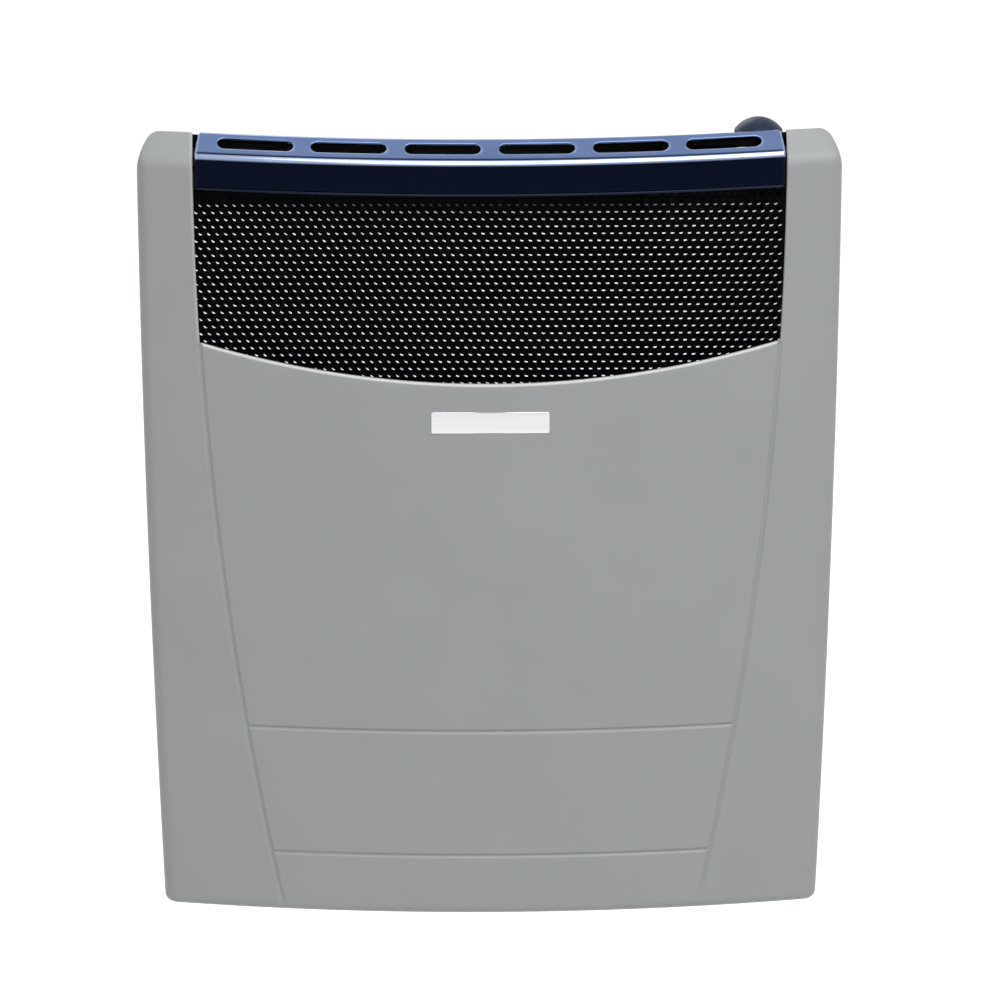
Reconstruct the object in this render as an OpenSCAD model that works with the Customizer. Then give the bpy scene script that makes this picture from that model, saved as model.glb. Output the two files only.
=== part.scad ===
// Wall mounted balanced-flue gas heater with a bowed pressed-steel casing.
// Millimetres. The wall is the plane y = 0, the front faces -Y and +Z is up.
// The origin is the middle of the four wall fixings. Heights (h) are measured up from the
// casing's bottom edge. The front is bowed in plan about one upright axis in front of the wall.

/* [Casing] */
// Width of the casing at the crease under its sloped top strip
casing_top_w = 578; // [573:1:590]
// Width of the casing at its bottom edge
casing_bottom_w = 540; // [534:1:560]
// Height of the ridge along the top
casing_h = 658; // [604:1:724]
// Depth from the wall to the middle of the front
casing_depth = 205; // [202:1:225]
// Radius of the front's bow in plan
bow_r = 1110; // [1060:10:1400]
// Thickness of the casing sheet
casing_t = 1.2; // [0.8:0.1:1.6]
// Radius of the two upright front edges
edge_r = 12; // [9:1:16]
// Radius of the turned-in bottom edge
hem_r = 7; // [4:0.5:8]
// Width of the flanges turned in at the bottom and at the back
return_w = 10; // [6:1:10]
// Rise of the sloped strip along the top
slope_h = 13; // [10:0.5:16]
// Run of that strip towards the wall
slope_run = 23; // [18:1:26]
// Outside radius of the bend between the front and that strip
bend_r = 5; // [3:0.5:7]
// Step down behind the ridge, at the middle
hip_step = 4; // [3:0.5:6]
// Fall of the top behind the ridge towards the wall, in degrees
hip_fall = 18; // [16:0.5:19]
// Gap between the casing's back edge and the wall
wall_gap = 1; // [0.5:0.5:3]

/* [Pressed lines] */
// Radius of the curved line that bounds each wing, seen from the front
wing_line_r = 3000; // [2600:50:4000]
// Height of the upper pressed line
upper_line_h = 159.5; // [140:0.5:180]
// Height of the lower pressed line
lower_line_h = 52; // [35:1:70]
// Width of a pressed line
line_w = 3; // [2:0.5:4]
// Depth of a pressed line
line_d = 0.6; // [0.3:0.1:0.7]

/* [Window and grille] */
// Half width of the window at the ridge, between the two wings
window_half_w = 243; // [236:1:245]
// Distance of the window's lowest point below the ridge
window_drop = 201.5; // [184:0.5:214]
// Radius of the window's lower edge
window_arc_r = 980; // [850:10:1300]
// Depth of the lip turned in round the window
lip_d = 3.8; // [2.5:0.1:4]
// Thickness of the perforated sheet
grille_t = 1; // [0.8:0.1:1.5]
// Width of the perforated sheet
grille_w = 512; // [506:1:516]
// Spacing of the perforations
hole_pitch = 10; // [9:0.5:16]
// Diameter of a perforation
hole_d = 6.6; // [4:0.1:7]

/* [Top band] */
// Distance of the band's lower edge below the ridge
band_drop = 42; // [37:1:49]
// Thickness of the band
band_t = 1; // [0.8:0.1:1.4]
// Gap between each end of the band and the wing beside it
band_gap = 3; // [2:0.5:5]
// Number of air slots in the band
slot_n = 6; // [4:1:6]
// Spacing of the slots
slot_pitch = 77; // [72:1:78]
// Length of a slot
slot_l = 62; // [40:1:66]
// Width of a slot
slot_w = 12; // [8:0.5:13]
// Distance of the slots' middle from the ridge, down the slope
slot_down = 10.4; // [8:0.1:12]

/* [Nameplate] */
// Width of the bare nameplate
plate_w = 97; // [70:1:120]
// Height of the bare nameplate
plate_h = 18.6; // [12:0.1:24]
// Thickness of the bare nameplate
plate_t = 1; // [0.6:0.1:1.5]
// Distance of the nameplate's middle below the window
plate_drop = 32; // [27:1:52]

/* [Wall plate] */
// Width of the wall plate
wall_plate_w = 490; // [484:1:500]
// Height of the wall plate's lower edge
wall_plate_low = 40; // [36:1:44]
// Distance of the wall plate's upper edge below the ridge
wall_plate_drop = 79; // [77:1:84]
// Thickness of the wall plate and of the brackets
plate_metal = 1.2; // [1:0.1:1.6]
// Spacing of the wall fixings across
fix_dx = 400; // [396:1:404]
// Distance of the upper wall fixings below the wall plate's upper edge
fix_edge = 9; // [8.5:0.5:12]
// Diameter of a wall fixing hole
fix_d = 6.5; // [5:0.5:8]
// Height of the lower wall fixings
fix_low_h = 50; // [49:1:56]

/* [Flue] */
// Outside diameter of the exhaust collar
exhaust_d = 90; // [80:1:96]
// Outside diameter of the air collar
air_d = 135; // [128:1:140]
// Wall of the two collars
collar_t = 2; // [1.5:0.1:2.5]
// Reach of the exhaust collar beyond the wall plane
exhaust_reach = 35; // [25:1:50]
// Reach of the air collar beyond the wall plane
air_reach = 25; // [15:1:30]
// Height of the flue's axis
flue_h = 400; // [396:1:404]

/* [Combustion chamber] */
// Width of the chamber
chamber_w = 344; // [338:1:346]
// Height of the chamber's floor
chamber_low = 118; // [117:1:119]
// Height of the chamber's top
chamber_top = 484; // [478:1:488]
// Distance of the chamber's back from the wall
chamber_gap = 62; // [62:1:64]
// Depth of the chamber's back shell
back_shell_d = 38; // [38:1:39]
// Depth of the chamber's front shell
front_shell_d = 42; // [42:1:44]
// Thickness of the chamber's walls
chamber_t = 1.5; // [1.2:0.1:1.8]
// Width of the seam flange round the chamber
seam_w = 12; // [9:1:12]
// Radius of the chamber's corners
chamber_r = 8; // [7:0.5:9]
// Number of pressed ribs in the front shell
rib_n = 5; // [3:1:6]

/* [Burner] */
// Radius of the burner tube
burner_r = 14; // [12:0.5:14]
// Length of the burner tube
burner_l = 290; // [270:1:292]
// Number of flame slots in the burner
flame_n = 24; // [16:1:30]

/* [Controls] */
// Distance of the knob's axis from the middle of the heater
knob_x = 221; // [219:0.5:222]
// Diameter of the knob
knob_d = 39.6; // [36:0.1:40]
// Radius of the knob's domed top
knob_dome_r = 23.5; // [22:0.5:40]
// Height of the knob's fluted skirt
knob_skirt = 12; // [10:0.5:13]
// Distance of the knob's axis behind the ridge
knob_back = 30; // [30:0.5:32]
// Height of the knob's crown above the ridge
knob_proud = 4.4; // [3:0.1:5]
// Diameter of the control rod and the valve spindle
rod_d = 8; // [7:0.1:8.4]
// Travel of the knob when it is pushed
push_travel = 6; // [3:0.5:6]
// Distance of the igniter's axis from the middle of the heater
igniter_x = 150; // [146:1:156]
// Diameter of the igniter's button
button_d = 14; // [12:0.5:15]
// Travel of the igniter's button
button_travel = 5; // [3:0.5:5]

/* [Gas line] */
// Diameter of the threaded gas inlet, measured over the thread
inlet_d = 20.96; // [18:0.01:22]
// Diameter of the pipe from the valve to the burner
burner_pipe_d = 8; // [6:0.5:8]

/* [Fits] */
// Gap between pieces that lie beside each other
fit_gap = 0.3; // [0.2:0.05:0.4]
// Radial clearance of a shaft or plunger in its guide
run_gap = 0.06; // [0.03:0.01:0.1]

/* [Hidden] */

$fn = 48;
over = 1;                                   // how far a cut runs past a face

// ---- the casing's form ----
bow_y = bow_r - casing_depth;               // the bow's axis
crease_h = casing_h - slope_h;
band_low = casing_h - band_drop;            // the band's lower edge
window_low = casing_h - window_drop;        // the window's lowest point
plate_mid_h = window_low - plate_drop;
wall_plate_top = casing_h - wall_plate_drop;
fix_dz = wall_plate_top - fix_edge - fix_low_h;   // spacing of the wall fixings up
fix_h = fix_low_h + fix_dz / 2;             // height of their middle, the origin
slope_len = norm([slope_run, slope_h]);
slope_turn = atan2(slope_run, slope_h);     // bend between the front and the slope
side_bulge = 1.64;                          // how much of the taper lies low down
crown_r = 16;                               // rounding of the outline beside the ridge
crown_edge = 12;                            // growth of the plan corners towards the ridge
bow_n = 24;                                 // flats along the bow
edge_n = 4;                                 // flats round an upright edge
ridge_y = -casing_depth + slope_run + casing_t;
ridge_r = bow_r - slope_run;                // radius of the ridge in plan
seat_drop = band_t + 0.6;                   // the ridge flange lies this low under the band

function side_w(h) = let(t = h / crease_h)
    casing_bottom_w / 2
    + (casing_top_w - casing_bottom_w) / 2 * (side_bulge * t - (side_bulge - 1) * t * t);
// y of the bowed front at x, set back by off
function front_y(x, off = 0) = bow_y - sqrt(pow(bow_r - off, 2) - x * x);
// x of the line that bounds the wings, at height h
function wing_x(h) = window_half_w - pow(casing_h - h, 2) / (2 * wing_line_r);
// height of the top's surface behind the ridge
function hip_h(y) = casing_h - hip_step - (y - ridge_y) * tan(hip_fall);
function arc(cx, cy, r, a0, a1, n) =
    [for (k = [0:n]) let(a = a0 + (a1 - a0) * k / n) [cx + r * cos(a), cy + r * sin(a)]];
// outline of a rectangle with round corners
function rounded(w, h, r, n = 5) = concat(
    arc(w / 2 - r, h / 2 - r, r, 0, 90, n), arc(r - w / 2, h / 2 - r, r, 90, 180, n),
    arc(r - w / 2, r - h / 2, r, 180, 270, n), arc(w / 2 - r, r - h / 2, r, 270, 360, n));

module at_h(h) translate([0, 0, h - fix_h]) children();
// extrudes an outline in (x, h) from y0 back to y1
module from_front(y0, y1)
    translate([0, y1, -fix_h]) rotate([90, 0, 0]) linear_extrude(y1 - y0) children();
// extrudes an outline in (y, h) from x0 to x1
module from_side(x0, x1)
    translate([x0, 0, -fix_h]) rotate([90, 0, 90]) linear_extrude(x1 - x0) children();
// extrudes an outline in (x, y) from height h0 to h1
module from_top(h0, h1) at_h(h0) linear_extrude(h1 - h0) children();
// the space within radius r of the bow's axis, from height h0 to h1
module within_bow(r, h0, h1)
    translate([0, bow_y, h0 - fix_h]) cylinder(r = r, h = h1 - h0, $fn = 720);
module mirrored() for (s = [0, 1]) mirror([s, 0, 0]) children();
module round_y(x, h, y0, y1, r) from_front(y0, y1) translate([x, h]) circle(r);
module round_x(y, h, x0, x1, r) from_side(x0, x1) translate([y, h]) circle(r);
module round_z(x, y, h0, h1, r) from_top(h0, h1) translate([x, y]) circle(r);

// plan of the casing at half width w with its front set back by f and corners of radius r
function section(w, f, r, back) =
    let (rf = bow_r - f, a = asin((w - r) / (rf - r)), cy = bow_y - (rf - r) * cos(a))
    concat(
        [[w, back]],
        [for (k = [0:edge_n]) let(q = 90 + (a - 90) * k / edge_n)
            [w - r + r * sin(q), cy - r * cos(q)]],
        [for (k = [1:bow_n - 1]) let(q = a - 2 * a * k / bow_n)
            [rf * sin(q), bow_y - rf * cos(q)]],
        [for (k = [edge_n:-1:0]) let(q = 90 + (a - 90) * k / edge_n)
            [-(w - r + r * sin(q)), cy - r * cos(q)]],
        [[-w, back]]);

// levels of the casing's surface, [height, half width, set-back, corner radius],
// for the outside (off = 0) and for the inside (off = the sheet's thickness)
function crown(h) = let(d = max(0, h - crease_h)) crown_r - sqrt(pow(crown_r, 2) - d * d);
function level(h, f, off) = let(d = max(0, h - crease_h) / slope_h)
    [h, side_w(h) - off - crown(h), f, edge_r - off + crown_edge * d];
function levels(off) = let(
        ri = hem_r - off, rb = bend_r - off,
        bend_h = crease_h - bend_r * tan(slope_turn / 2),
        top_h = casing_h - off * slope_len / slope_run,
        s0 = bend_r - rb * cos(slope_turn), h0 = bend_h + rb * sin(slope_turn))
    concat(
        [for (a = [0:30:90]) let(q = hem_r - ri * sin(a), h = hem_r - ri * cos(a))
            [h, side_w(h) - q, q, edge_r - q]],
        [for (k = [1:6]) level(hem_r + (bend_h - hem_r) * k / 6, off, off)],
        [for (k = [1:3]) let(a = slope_turn * k / 3)
            level(bend_h + rb * sin(a), bend_r - rb * cos(a), off)],
        [for (k = [1:3]) level(h0 + (top_h - h0) * k / 3, s0 + (slope_run - s0) * k / 3, off)]);

// skin through the casing's sections, closed flat at its two ends
module loft(levels, back) {
    rings = [for (v = levels) section(v[1], v[2], v[3], back)];
    n = len(rings[0]);
    m = len(rings);
    polyhedron(
        points = [for (j = [0:m - 1]) for (p = rings[j]) [p[0], p[1], levels[j][0] - fix_h]],
        faces = concat(
            [for (j = [0:m - 2]) for (i = [0:n - 1]) let(k = (i + 1) % n)
                [j * n + i, (j + 1) * n + k, (j + 1) * n + i]],
            [for (j = [0:m - 2]) for (i = [0:n - 1]) let(k = (i + 1) % n)
                [j * n + i, j * n + k, (j + 1) * n + k]],
            [[for (i = [n - 1:-1:0]) i]],
            [[for (i = [0:n - 1]) (m - 1) * n + i]]));
}
// what lies above the falling top, behind the ridge
module above_hip(r, drop) intersection() {
    within_bow(r, casing_h / 2, casing_h + 2 * over);
    translate([0, ridge_y, casing_h - hip_step - drop - fix_h]) rotate([-hip_fall, 0, 0])
        translate([-casing_top_w, -casing_depth, 0])
            cube([2 * casing_top_w, 3 * casing_depth, casing_h]);
}
// the window's outline grown by g, up to height top_h
function window(g, top_h) = let(
        corner_x = wing_x(window_low),
        cy = window_low + window_arc_r,
        a = asin(corner_x / window_arc_r),
        corner_h = cy - window_arc_r * cos(a))
    concat(
        arc(0, cy, window_arc_r + g, 270 - a, 270 + a, 24),
        [for (k = [1:6]) let(h = corner_h + (top_h - corner_h) * k / 6) [wing_x(h) + g, h]],
        [for (k = [6:-1:1]) let(h = corner_h + (top_h - corner_h) * k / 6) [-wing_x(h) - g, h]]);
// strip of width w along the line that bounds a wing, from height h0 to h1
function wing_strip(w, h0, h1) = concat(
    [for (k = [0:8]) let(h = h0 + (h1 - h0) * k / 8) [wing_x(h) - w / 2, h]],
    [for (k = [8:-1:0]) let(h = h0 + (h1 - h0) * k / 8) [wing_x(h) + w / 2, h]]);
window_corner_h = window_low + window_arc_r
    - sqrt(pow(window_arc_r, 2) - pow(wing_x(window_low), 2));

// ---- where the inner pieces lie ----
knob_y = front_y(knob_x, slope_run) + knob_back;
igniter_y = front_y(igniter_x, slope_run) + knob_back - 6;
grille_y = max(front_y(grille_w / 2, casing_t), front_y(window_half_w + casing_t, lip_d))
    + fit_gap;                              // front face of the flat grille
grille_low = window_low - 12;
grille_top = crease_h - 5;
chamber_mid_h = (chamber_low + chamber_top) / 2;
chamber_height = chamber_top - chamber_low;
seam_y = -chamber_gap - back_shell_d;
chamber_front_y = seam_y - front_shell_d;
door_w = 300;
door_h = 70;
door_mid_h = chamber_low + 42;
gasket_t = 2.2;
door_t = 1.5;
door_y = chamber_front_y - gasket_t;        // back face of the door
stud_r = 2.5;
sight_x = 0;
burner_y = seam_y - 18;
burner_h = chamber_low + 32;
port_x = chamber_w / 2 + 9;                 // the holder's lower port
pilot_x = 100;
pilot_y = -chamber_gap - 15;
thermo_y = pilot_y - 9.5;
spark_y = thermo_y - 8.5;
pilot_h = chamber_low + 21;                 // top of the pilot bracket
lead_h = chamber_low + 9;                   // where the three lines pass the wall
gland_x = chamber_w / 2;
box_half_w = 100;
duct_low = chamber_low + 37;
duct_top = duct_low + 40;
box_low = duct_low - 5;
box_top = flue_h + 90;
box_y = -42;
valve_w = 42;
valve_low = 62;
valve_top = 118;
valve_x0 = knob_x - valve_w / 2;
valve_y0 = knob_y - valve_w / 2;            // front of the valve
valve_y1 = knob_y + valve_w / 2;            // back of the valve
outlet_h = 85;
bonnet_t = 6;
neck_top = valve_top + 14;
spindle_top = valve_top + 28;
shelf_h = casing_h - 36;                    // underside of the control shelf
shelf_y0 = knob_y - 34;
shelf_y1 = knob_y + 30;
shelf_x0 = igniter_x - 22;
shelf_x1 = knob_x + 15;
ledge_h = shelf_h - 73;
rod_r = rod_d / 2;
bush_top = shelf_h + plate_metal + 2;
knob_top = casing_h + knob_proud;
knob_r = knob_d / 2;
dome_h = knob_dome_r - sqrt(pow(knob_dome_r, 2) - pow(knob_r, 2));
knob_base = knob_top - dome_h - knob_skirt;
hub_low = bush_top + 18.8;
washer_top = hub_low - fit_gap;
washer_low = washer_top - 1.6;
button_r = button_d / 2;
button_top = hip_h(igniter_y) + 6;
igniter_low = shelf_h - 62;
neck_r = button_r + 2;
pipe_r = burner_pipe_d / 2;
rail_x = 241;                               // outer face of a rail's web
rail_d = 30;
ear_h = [wall_plate_low + 30, casing_h - 94];                          // heights of the ears that hold the casing
ear_h2 = 10;                                // half height of an ear
screw_y = -20;
screw_r = 2;

// ================= casing, band and grille =================
module casing() color([0.62, 0.64, 0.63]) {
    back_h = hip_h(0) - return_w - casing_t;
    difference() {
        loft(levels(0), -wall_gap);
        above_hip(ridge_r - casing_t, 0);
        difference() {
            loft(levels(casing_t), -wall_gap - casing_t);
            above_hip(ridge_r - 0.2, casing_t / cos(hip_fall));
        }
        // open bottom and back, inside their flanges
        from_top(-over, hem_r) polygon(section(casing_bottom_w / 2 - hem_r - return_w,
            hem_r + return_w, 4, over));
        from_front(-wall_gap - 2 * casing_t, over) polygon(concat(
            [[side_w(0) - return_w, -over], [side_w(back_h / 2) - return_w, back_h / 2],
             [side_w(back_h) - return_w, back_h]],
            [[-side_w(back_h) + return_w, back_h],
             [-side_w(back_h / 2) + return_w, back_h / 2], [-side_w(0) + return_w, -over]]));
        // window, and the seat of the band above it
        difference() {
            from_front(-casing_depth - over, -chamber_gap)
                polygon(window(0, casing_h + over));
            within_bow(ridge_r - 0.1, 0, casing_h + 2 * over);
        }
        from_front(-casing_depth, -chamber_gap)
            translate([1 - window_half_w, casing_h - seat_drop])
                square([2 * window_half_w - 2, seat_drop + 1]);
        // holes for the knob, the igniter's button, the screws and the nameplate
        round_z(knob_x, knob_y, casing_h / 2, casing_h, knob_r + 2.2);
        round_z(igniter_x, igniter_y, casing_h / 2, casing_h, button_r + 1.5);
        for (h = ear_h)
            round_x(screw_y, h, -casing_top_w, casing_top_w, screw_r + 0.4);
        mirrored() round_y(plate_w / 2 - 12, plate_mid_h, -casing_depth - over,
            -casing_depth + 20, 1.8);
        // pressed lines
        difference() {
            from_front(-casing_depth - over, -chamber_gap) pressed_lines();
            within_bow(bow_r - line_d, 0, casing_h);
        }
    }
    // lip round the window
    difference() {
        intersection() {
            from_front(-casing_depth, -chamber_gap) difference() {
                polygon(window(casing_t, crease_h - bend_r));
                polygon(window(0, crease_h));
            }
            within_bow(bow_r - 0.4, 0, casing_h);
        }
        within_bow(bow_r - lip_d, 0, casing_h);
    }
}
module pressed_lines() {
    mirrored() polygon(wing_strip(line_w, hem_r + 2, window_corner_h - 3));
    for (h = [lower_line_h, upper_line_h])
        translate([-wing_x(h), h - line_w / 2]) square([2 * wing_x(h), line_w]);
}

band_half_w = window_half_w - band_gap;
band_flange = 4.5;                          // depth of the flange at the band's lower edge
band_hook = 1;                              // how far the hook reaches behind the ridge flange
// point of the band's section at radius f inside the front, on its skin set in by off
function on_slope(f, off) =
    [bow_r - f, crease_h + f * slope_h / slope_run - off * slope_len / slope_run];
// the band's bent skin from below upwards, set in by off, as points in (radius, height)
function skin(off) = [for (k = [0:4]) let(a = slope_turn * k / 4)
    [bow_r - bend_r + (bend_r - off) * cos(a),
     crease_h - bend_r * tan(slope_turn / 2) + (bend_r - off) * sin(a)]];
function skin_down(off) = [for (k = [4:-1:0]) skin(off)[k]];
hook_r = ridge_r - casing_t - fit_gap;      // the hook's face behind the ridge flange
// section of the band with its skin thick_in deep in front of the ridge flange
function band_section(in) = concat(
    [[bow_r - band_flange, band_low], [bow_r, band_low]],
    skin(0),
    [[ridge_r, casing_h], [hook_r - band_hook, casing_h],
     [hook_r - band_hook, casing_h - hip_step + fit_gap],
     [hook_r, casing_h - hip_step + fit_gap], [hook_r, casing_h - band_t],
     [ridge_r + 0.3, casing_h - band_t], on_slope(slope_run - 0.3, band_t)],
    in > band_t ? [on_slope(slope_run - 0.3, in)] : [],
    skin_down(in),
    [[bow_r - in, band_low + band_t], [bow_r - band_flange, band_low + band_t]]);
// section of the room behind the band's skin
function room_section() = concat(
    [on_slope(slope_run - 0.31, band_t)],
    skin_down(band_t),
    [[bow_r - band_t, band_low + band_t], [bow_r - 12, band_low + band_t],
     [bow_r - 12, crease_h - 2], [ridge_r + 0.31, crease_h + 1]]);
module swept(section) translate([0, bow_y, -fix_h]) rotate([0, 0, 250])
    rotate_extrude(angle = 40, $fn = 720) polygon(section);
module band_slice(half_w) from_front(-casing_depth - over, 0)
    translate([-half_w, band_low - over]) square([2 * half_w, casing_h - band_low + 2 * over]);
module top_band() color([0.10, 0.14, 0.27]) difference() {
    intersection() {
        swept(band_section(lip_d));
        band_slice(band_half_w);
    }
    intersection() {
        swept(room_section());
        band_slice(band_half_w - band_t);
    }
    for (i = [0:slot_n - 1]) band_slot((i - (slot_n - 1) / 2) * slot_pitch);
}
// one slot, square to the slope, at a distance s along the bow
module band_slot(s)
    translate([0, bow_y, casing_h - fix_h]) rotate([0, 0, s / ridge_r * 180 / PI])
        translate([0, -ridge_r, 0]) rotate([90 - slope_turn, 0, 0])
            translate([0, -slot_down, -6]) linear_extrude(12) union() {
                square([slot_l - slot_w, slot_w], center = true);
                mirrored() translate([(slot_l - slot_w) / 2, 0]) circle(slot_w / 2 - 0.001);
            }
module band_seals() color([0.05, 0.05, 0.05]) mirrored() difference() {
    intersection() {
        from_front(-casing_depth, -chamber_gap) translate([band_half_w + fit_gap / 2, band_low])
            square([band_gap - fit_gap - 0.2, crease_h - bend_r - band_low]);
        within_bow(bow_r - casing_t, 0, casing_h);
    }
    within_bow(bow_r - lip_d, 0, casing_h);
}
module grille() color([0.03, 0.03, 0.03]) {
    row = hole_pitch * sqrt(3) / 2;
    edge = hole_d / 2 + 4;
    from_front(grille_y, grille_y + grille_t) difference() {
        translate([-grille_w / 2, grille_low]) square([grille_w, grille_top - grille_low]);
        for (j = [0:floor((grille_top - grille_low - 2 * edge) / row)],
             i = [-ceil(grille_w / hole_pitch / 2):ceil(grille_w / hole_pitch / 2)])
            let(x = (i + (j % 2) / 2) * hole_pitch, h = grille_low + edge + j * row)
                if (abs(x) < window_half_w) translate([x, h]) circle(d = hole_d);
    }
}
clip_h = [window_low + 18, band_low + 2];   // heights of the clips behind the grille
clip_back = 22;                             // how far a clip steps back to reach the side wall
module grille_clips() color([0.06, 0.06, 0.06]) mirrored() for (h = clip_h) {
    x0 = grille_w / 2;
    x1 = side_w(h - 7) - casing_t - fit_gap;
    y0 = grille_y + grille_t;
    from_top(h - 7, h + 7) {
        translate([x0 - 8, y0]) square([8, 1]);
        translate([x0 - 1, y0]) square([1, clip_back]);
        translate([x0 - 1, y0 + clip_back - 1]) square([x1 - x0 + 1, 1]);
        translate([x1 - 1, y0 + clip_back - 1]) square([1, 14]);
    }
}
module nameplate() color([0.82, 0.83, 0.85]) {
    difference() {
        intersection() {
            from_front(-casing_depth - 4, 0) translate([0, plate_mid_h])
                polygon(rounded(plate_w, plate_h, 1.5));
            within_bow(bow_r + 0.05 + plate_t, 0, casing_h);
        }
        within_bow(bow_r + 0.05, 0, casing_h);
    }
    mirrored() difference() {
        round_y(plate_w / 2 - 12, plate_mid_h, -casing_depth, -casing_depth + 6, 1.5);
        difference() {
            within_bow(bow_r + 20, 0, casing_h);
            within_bow(bow_r + 0.5, 0, casing_h);
        }
    }
}
module casing_screws() color([0.75, 0.75, 0.77]) mirrored() for (h = ear_h) {
    x0 = side_w(h) + fit_gap;
    round_x(screw_y, h, x0 - 9, x0, screw_r);
    difference() {
        round_x(screw_y, h, x0, x0 + 2.4, 4.5);
        from_side(x0 + 1.2, x0 + 3) translate([screw_y, h]) square([0.9, 7], center = true);
        from_side(x0 + 1.2, x0 + 3) translate([screw_y, h]) square([7, 0.9], center = true);
    }
}

// ================= wall plate, rails, shield =================
module wall_plate() color([0.06, 0.06, 0.06]) difference() {
    union() {
        from_front(-plate_metal, 0) translate([-wall_plate_w / 2, wall_plate_low])
            square([wall_plate_w, wall_plate_top - wall_plate_low]);
        for (h = [wall_plate_low, wall_plate_top - plate_metal])
            from_front(-15, 0) translate([-wall_plate_w / 2, h])
                square([wall_plate_w, plate_metal]);
    }
    round_y(0, flue_h, -20, over, air_d / 2 + bead + fit_gap);
    for (x = [-fix_dx / 2, fix_dx / 2], z = [-fix_dz / 2, fix_dz / 2])
        round_y(x, fix_h + z, -20, over, fix_d / 2);
}
module side_rails() color([0.06, 0.06, 0.06]) mirrored() {
    low = ear_h[0] - 20;
    top = ear_h[1] + ear_h2;
    difference() {
        union() {
            from_top(low, top) {
                translate([rail_x - 25, -plate_metal - 1]) square([25, 1]);
                translate([rail_x - 1, -rail_d]) square([1, rail_d - plate_metal]);
            }
            for (h = ear_h) let(x1 = side_w(h - ear_h2) - casing_t - fit_gap)
                from_top(h - ear_h2, h + ear_h2) {
                    translate([rail_x - 1, -rail_d]) square([x1 - rail_x + 1, 1]);
                    translate([x1 - 1, -rail_d]) square([1, rail_d - 8]);
                }
        }
        for (h = ear_h) round_x(screw_y, h, rail_x + 2, casing_top_w, screw_r + 0.1);
    }
}
shield_low = flue_h - 190;
shield_top = flue_h + 70;
module heat_shield() color([0.78, 0.79, 0.80]) {
    y0 = -chamber_gap + 13;
    difference() {
        from_front(y0, y0 + 0.8) translate([7 - chamber_w / 2, shield_low])
            square([chamber_w - 14, shield_top - shield_low]);
        round_y(0, flue_h, y0 - over, y0 + 2, exhaust_d / 2 + 18);
    }
    for (x = [-80, 80], h = [shield_low + 20, shield_low + 120]) round_y(x, h, y0 + 0.8, box_y, 6);
}

// ================= flue =================
bead = 1.2;                                 // height of the bead that stops a flue pipe
module air_box() color([0.06, 0.06, 0.06]) {
    mid = (box_low + box_top) / 2;
    tall = box_top - box_low;
    difference() {
        union() {
            from_front(box_y, -plate_metal) translate([0, mid])
                polygon(rounded(2 * box_half_w, tall, 14));
            from_front(-plate_metal - 1, -plate_metal) translate([0, mid])
                polygon(rounded(2 * box_half_w + 24, tall + 24, 18));
            from_front(-chamber_gap, box_y) translate([-81, duct_low - 1])
                square([162, duct_top - duct_low + 2]);
        }
        from_front(box_y + 1, over) translate([0, mid])
            polygon(rounded(2 * box_half_w - 2, tall - 2, 13));
        from_front(-chamber_gap - over, box_y + 2) translate([-80, duct_low])
            square([160, duct_top - duct_low]);
        round_y(0, flue_h, box_y - over, box_y + 2, exhaust_d / 2 + bead + fit_gap);
    }
}
module ring_y(x, h, y0, y1, ro, ri) from_front(y0, y1) translate([x, h]) difference() {
    circle(ro, $fn = 96);
    circle(ri, $fn = 96);
}
module air_collar() color([0.70, 0.71, 0.72]) {
    ring_y(0, flue_h, -plate_metal - 1, air_reach, air_d / 2, air_d / 2 - collar_t);
    ring_y(0, flue_h, -plate_metal - 2.2, -plate_metal, air_d / 2 + 10, air_d / 2 - collar_t);
    ring_y(0, flue_h, over, over + 2, air_d / 2 + bead, air_d / 2 - collar_t);
}
module exhaust_collar() color([0.62, 0.62, 0.62]) {
    y0 = -chamber_gap + 3;
    ring_y(0, flue_h, y0, exhaust_reach, exhaust_d / 2, exhaust_d / 2 - collar_t);
    ring_y(0, flue_h, y0, y0 + 2, exhaust_d / 2 + 13, exhaust_d / 2 - collar_t);
    ring_y(0, flue_h, -6, -4, exhaust_d / 2 + bead, exhaust_d / 2 - collar_t);
}
module flue_gasket() color([0.85, 0.83, 0.76])
    ring_y(0, flue_h, -chamber_gap, -chamber_gap + 3, exhaust_d / 2 + 12,
        exhaust_d / 2 - collar_t);

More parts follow.
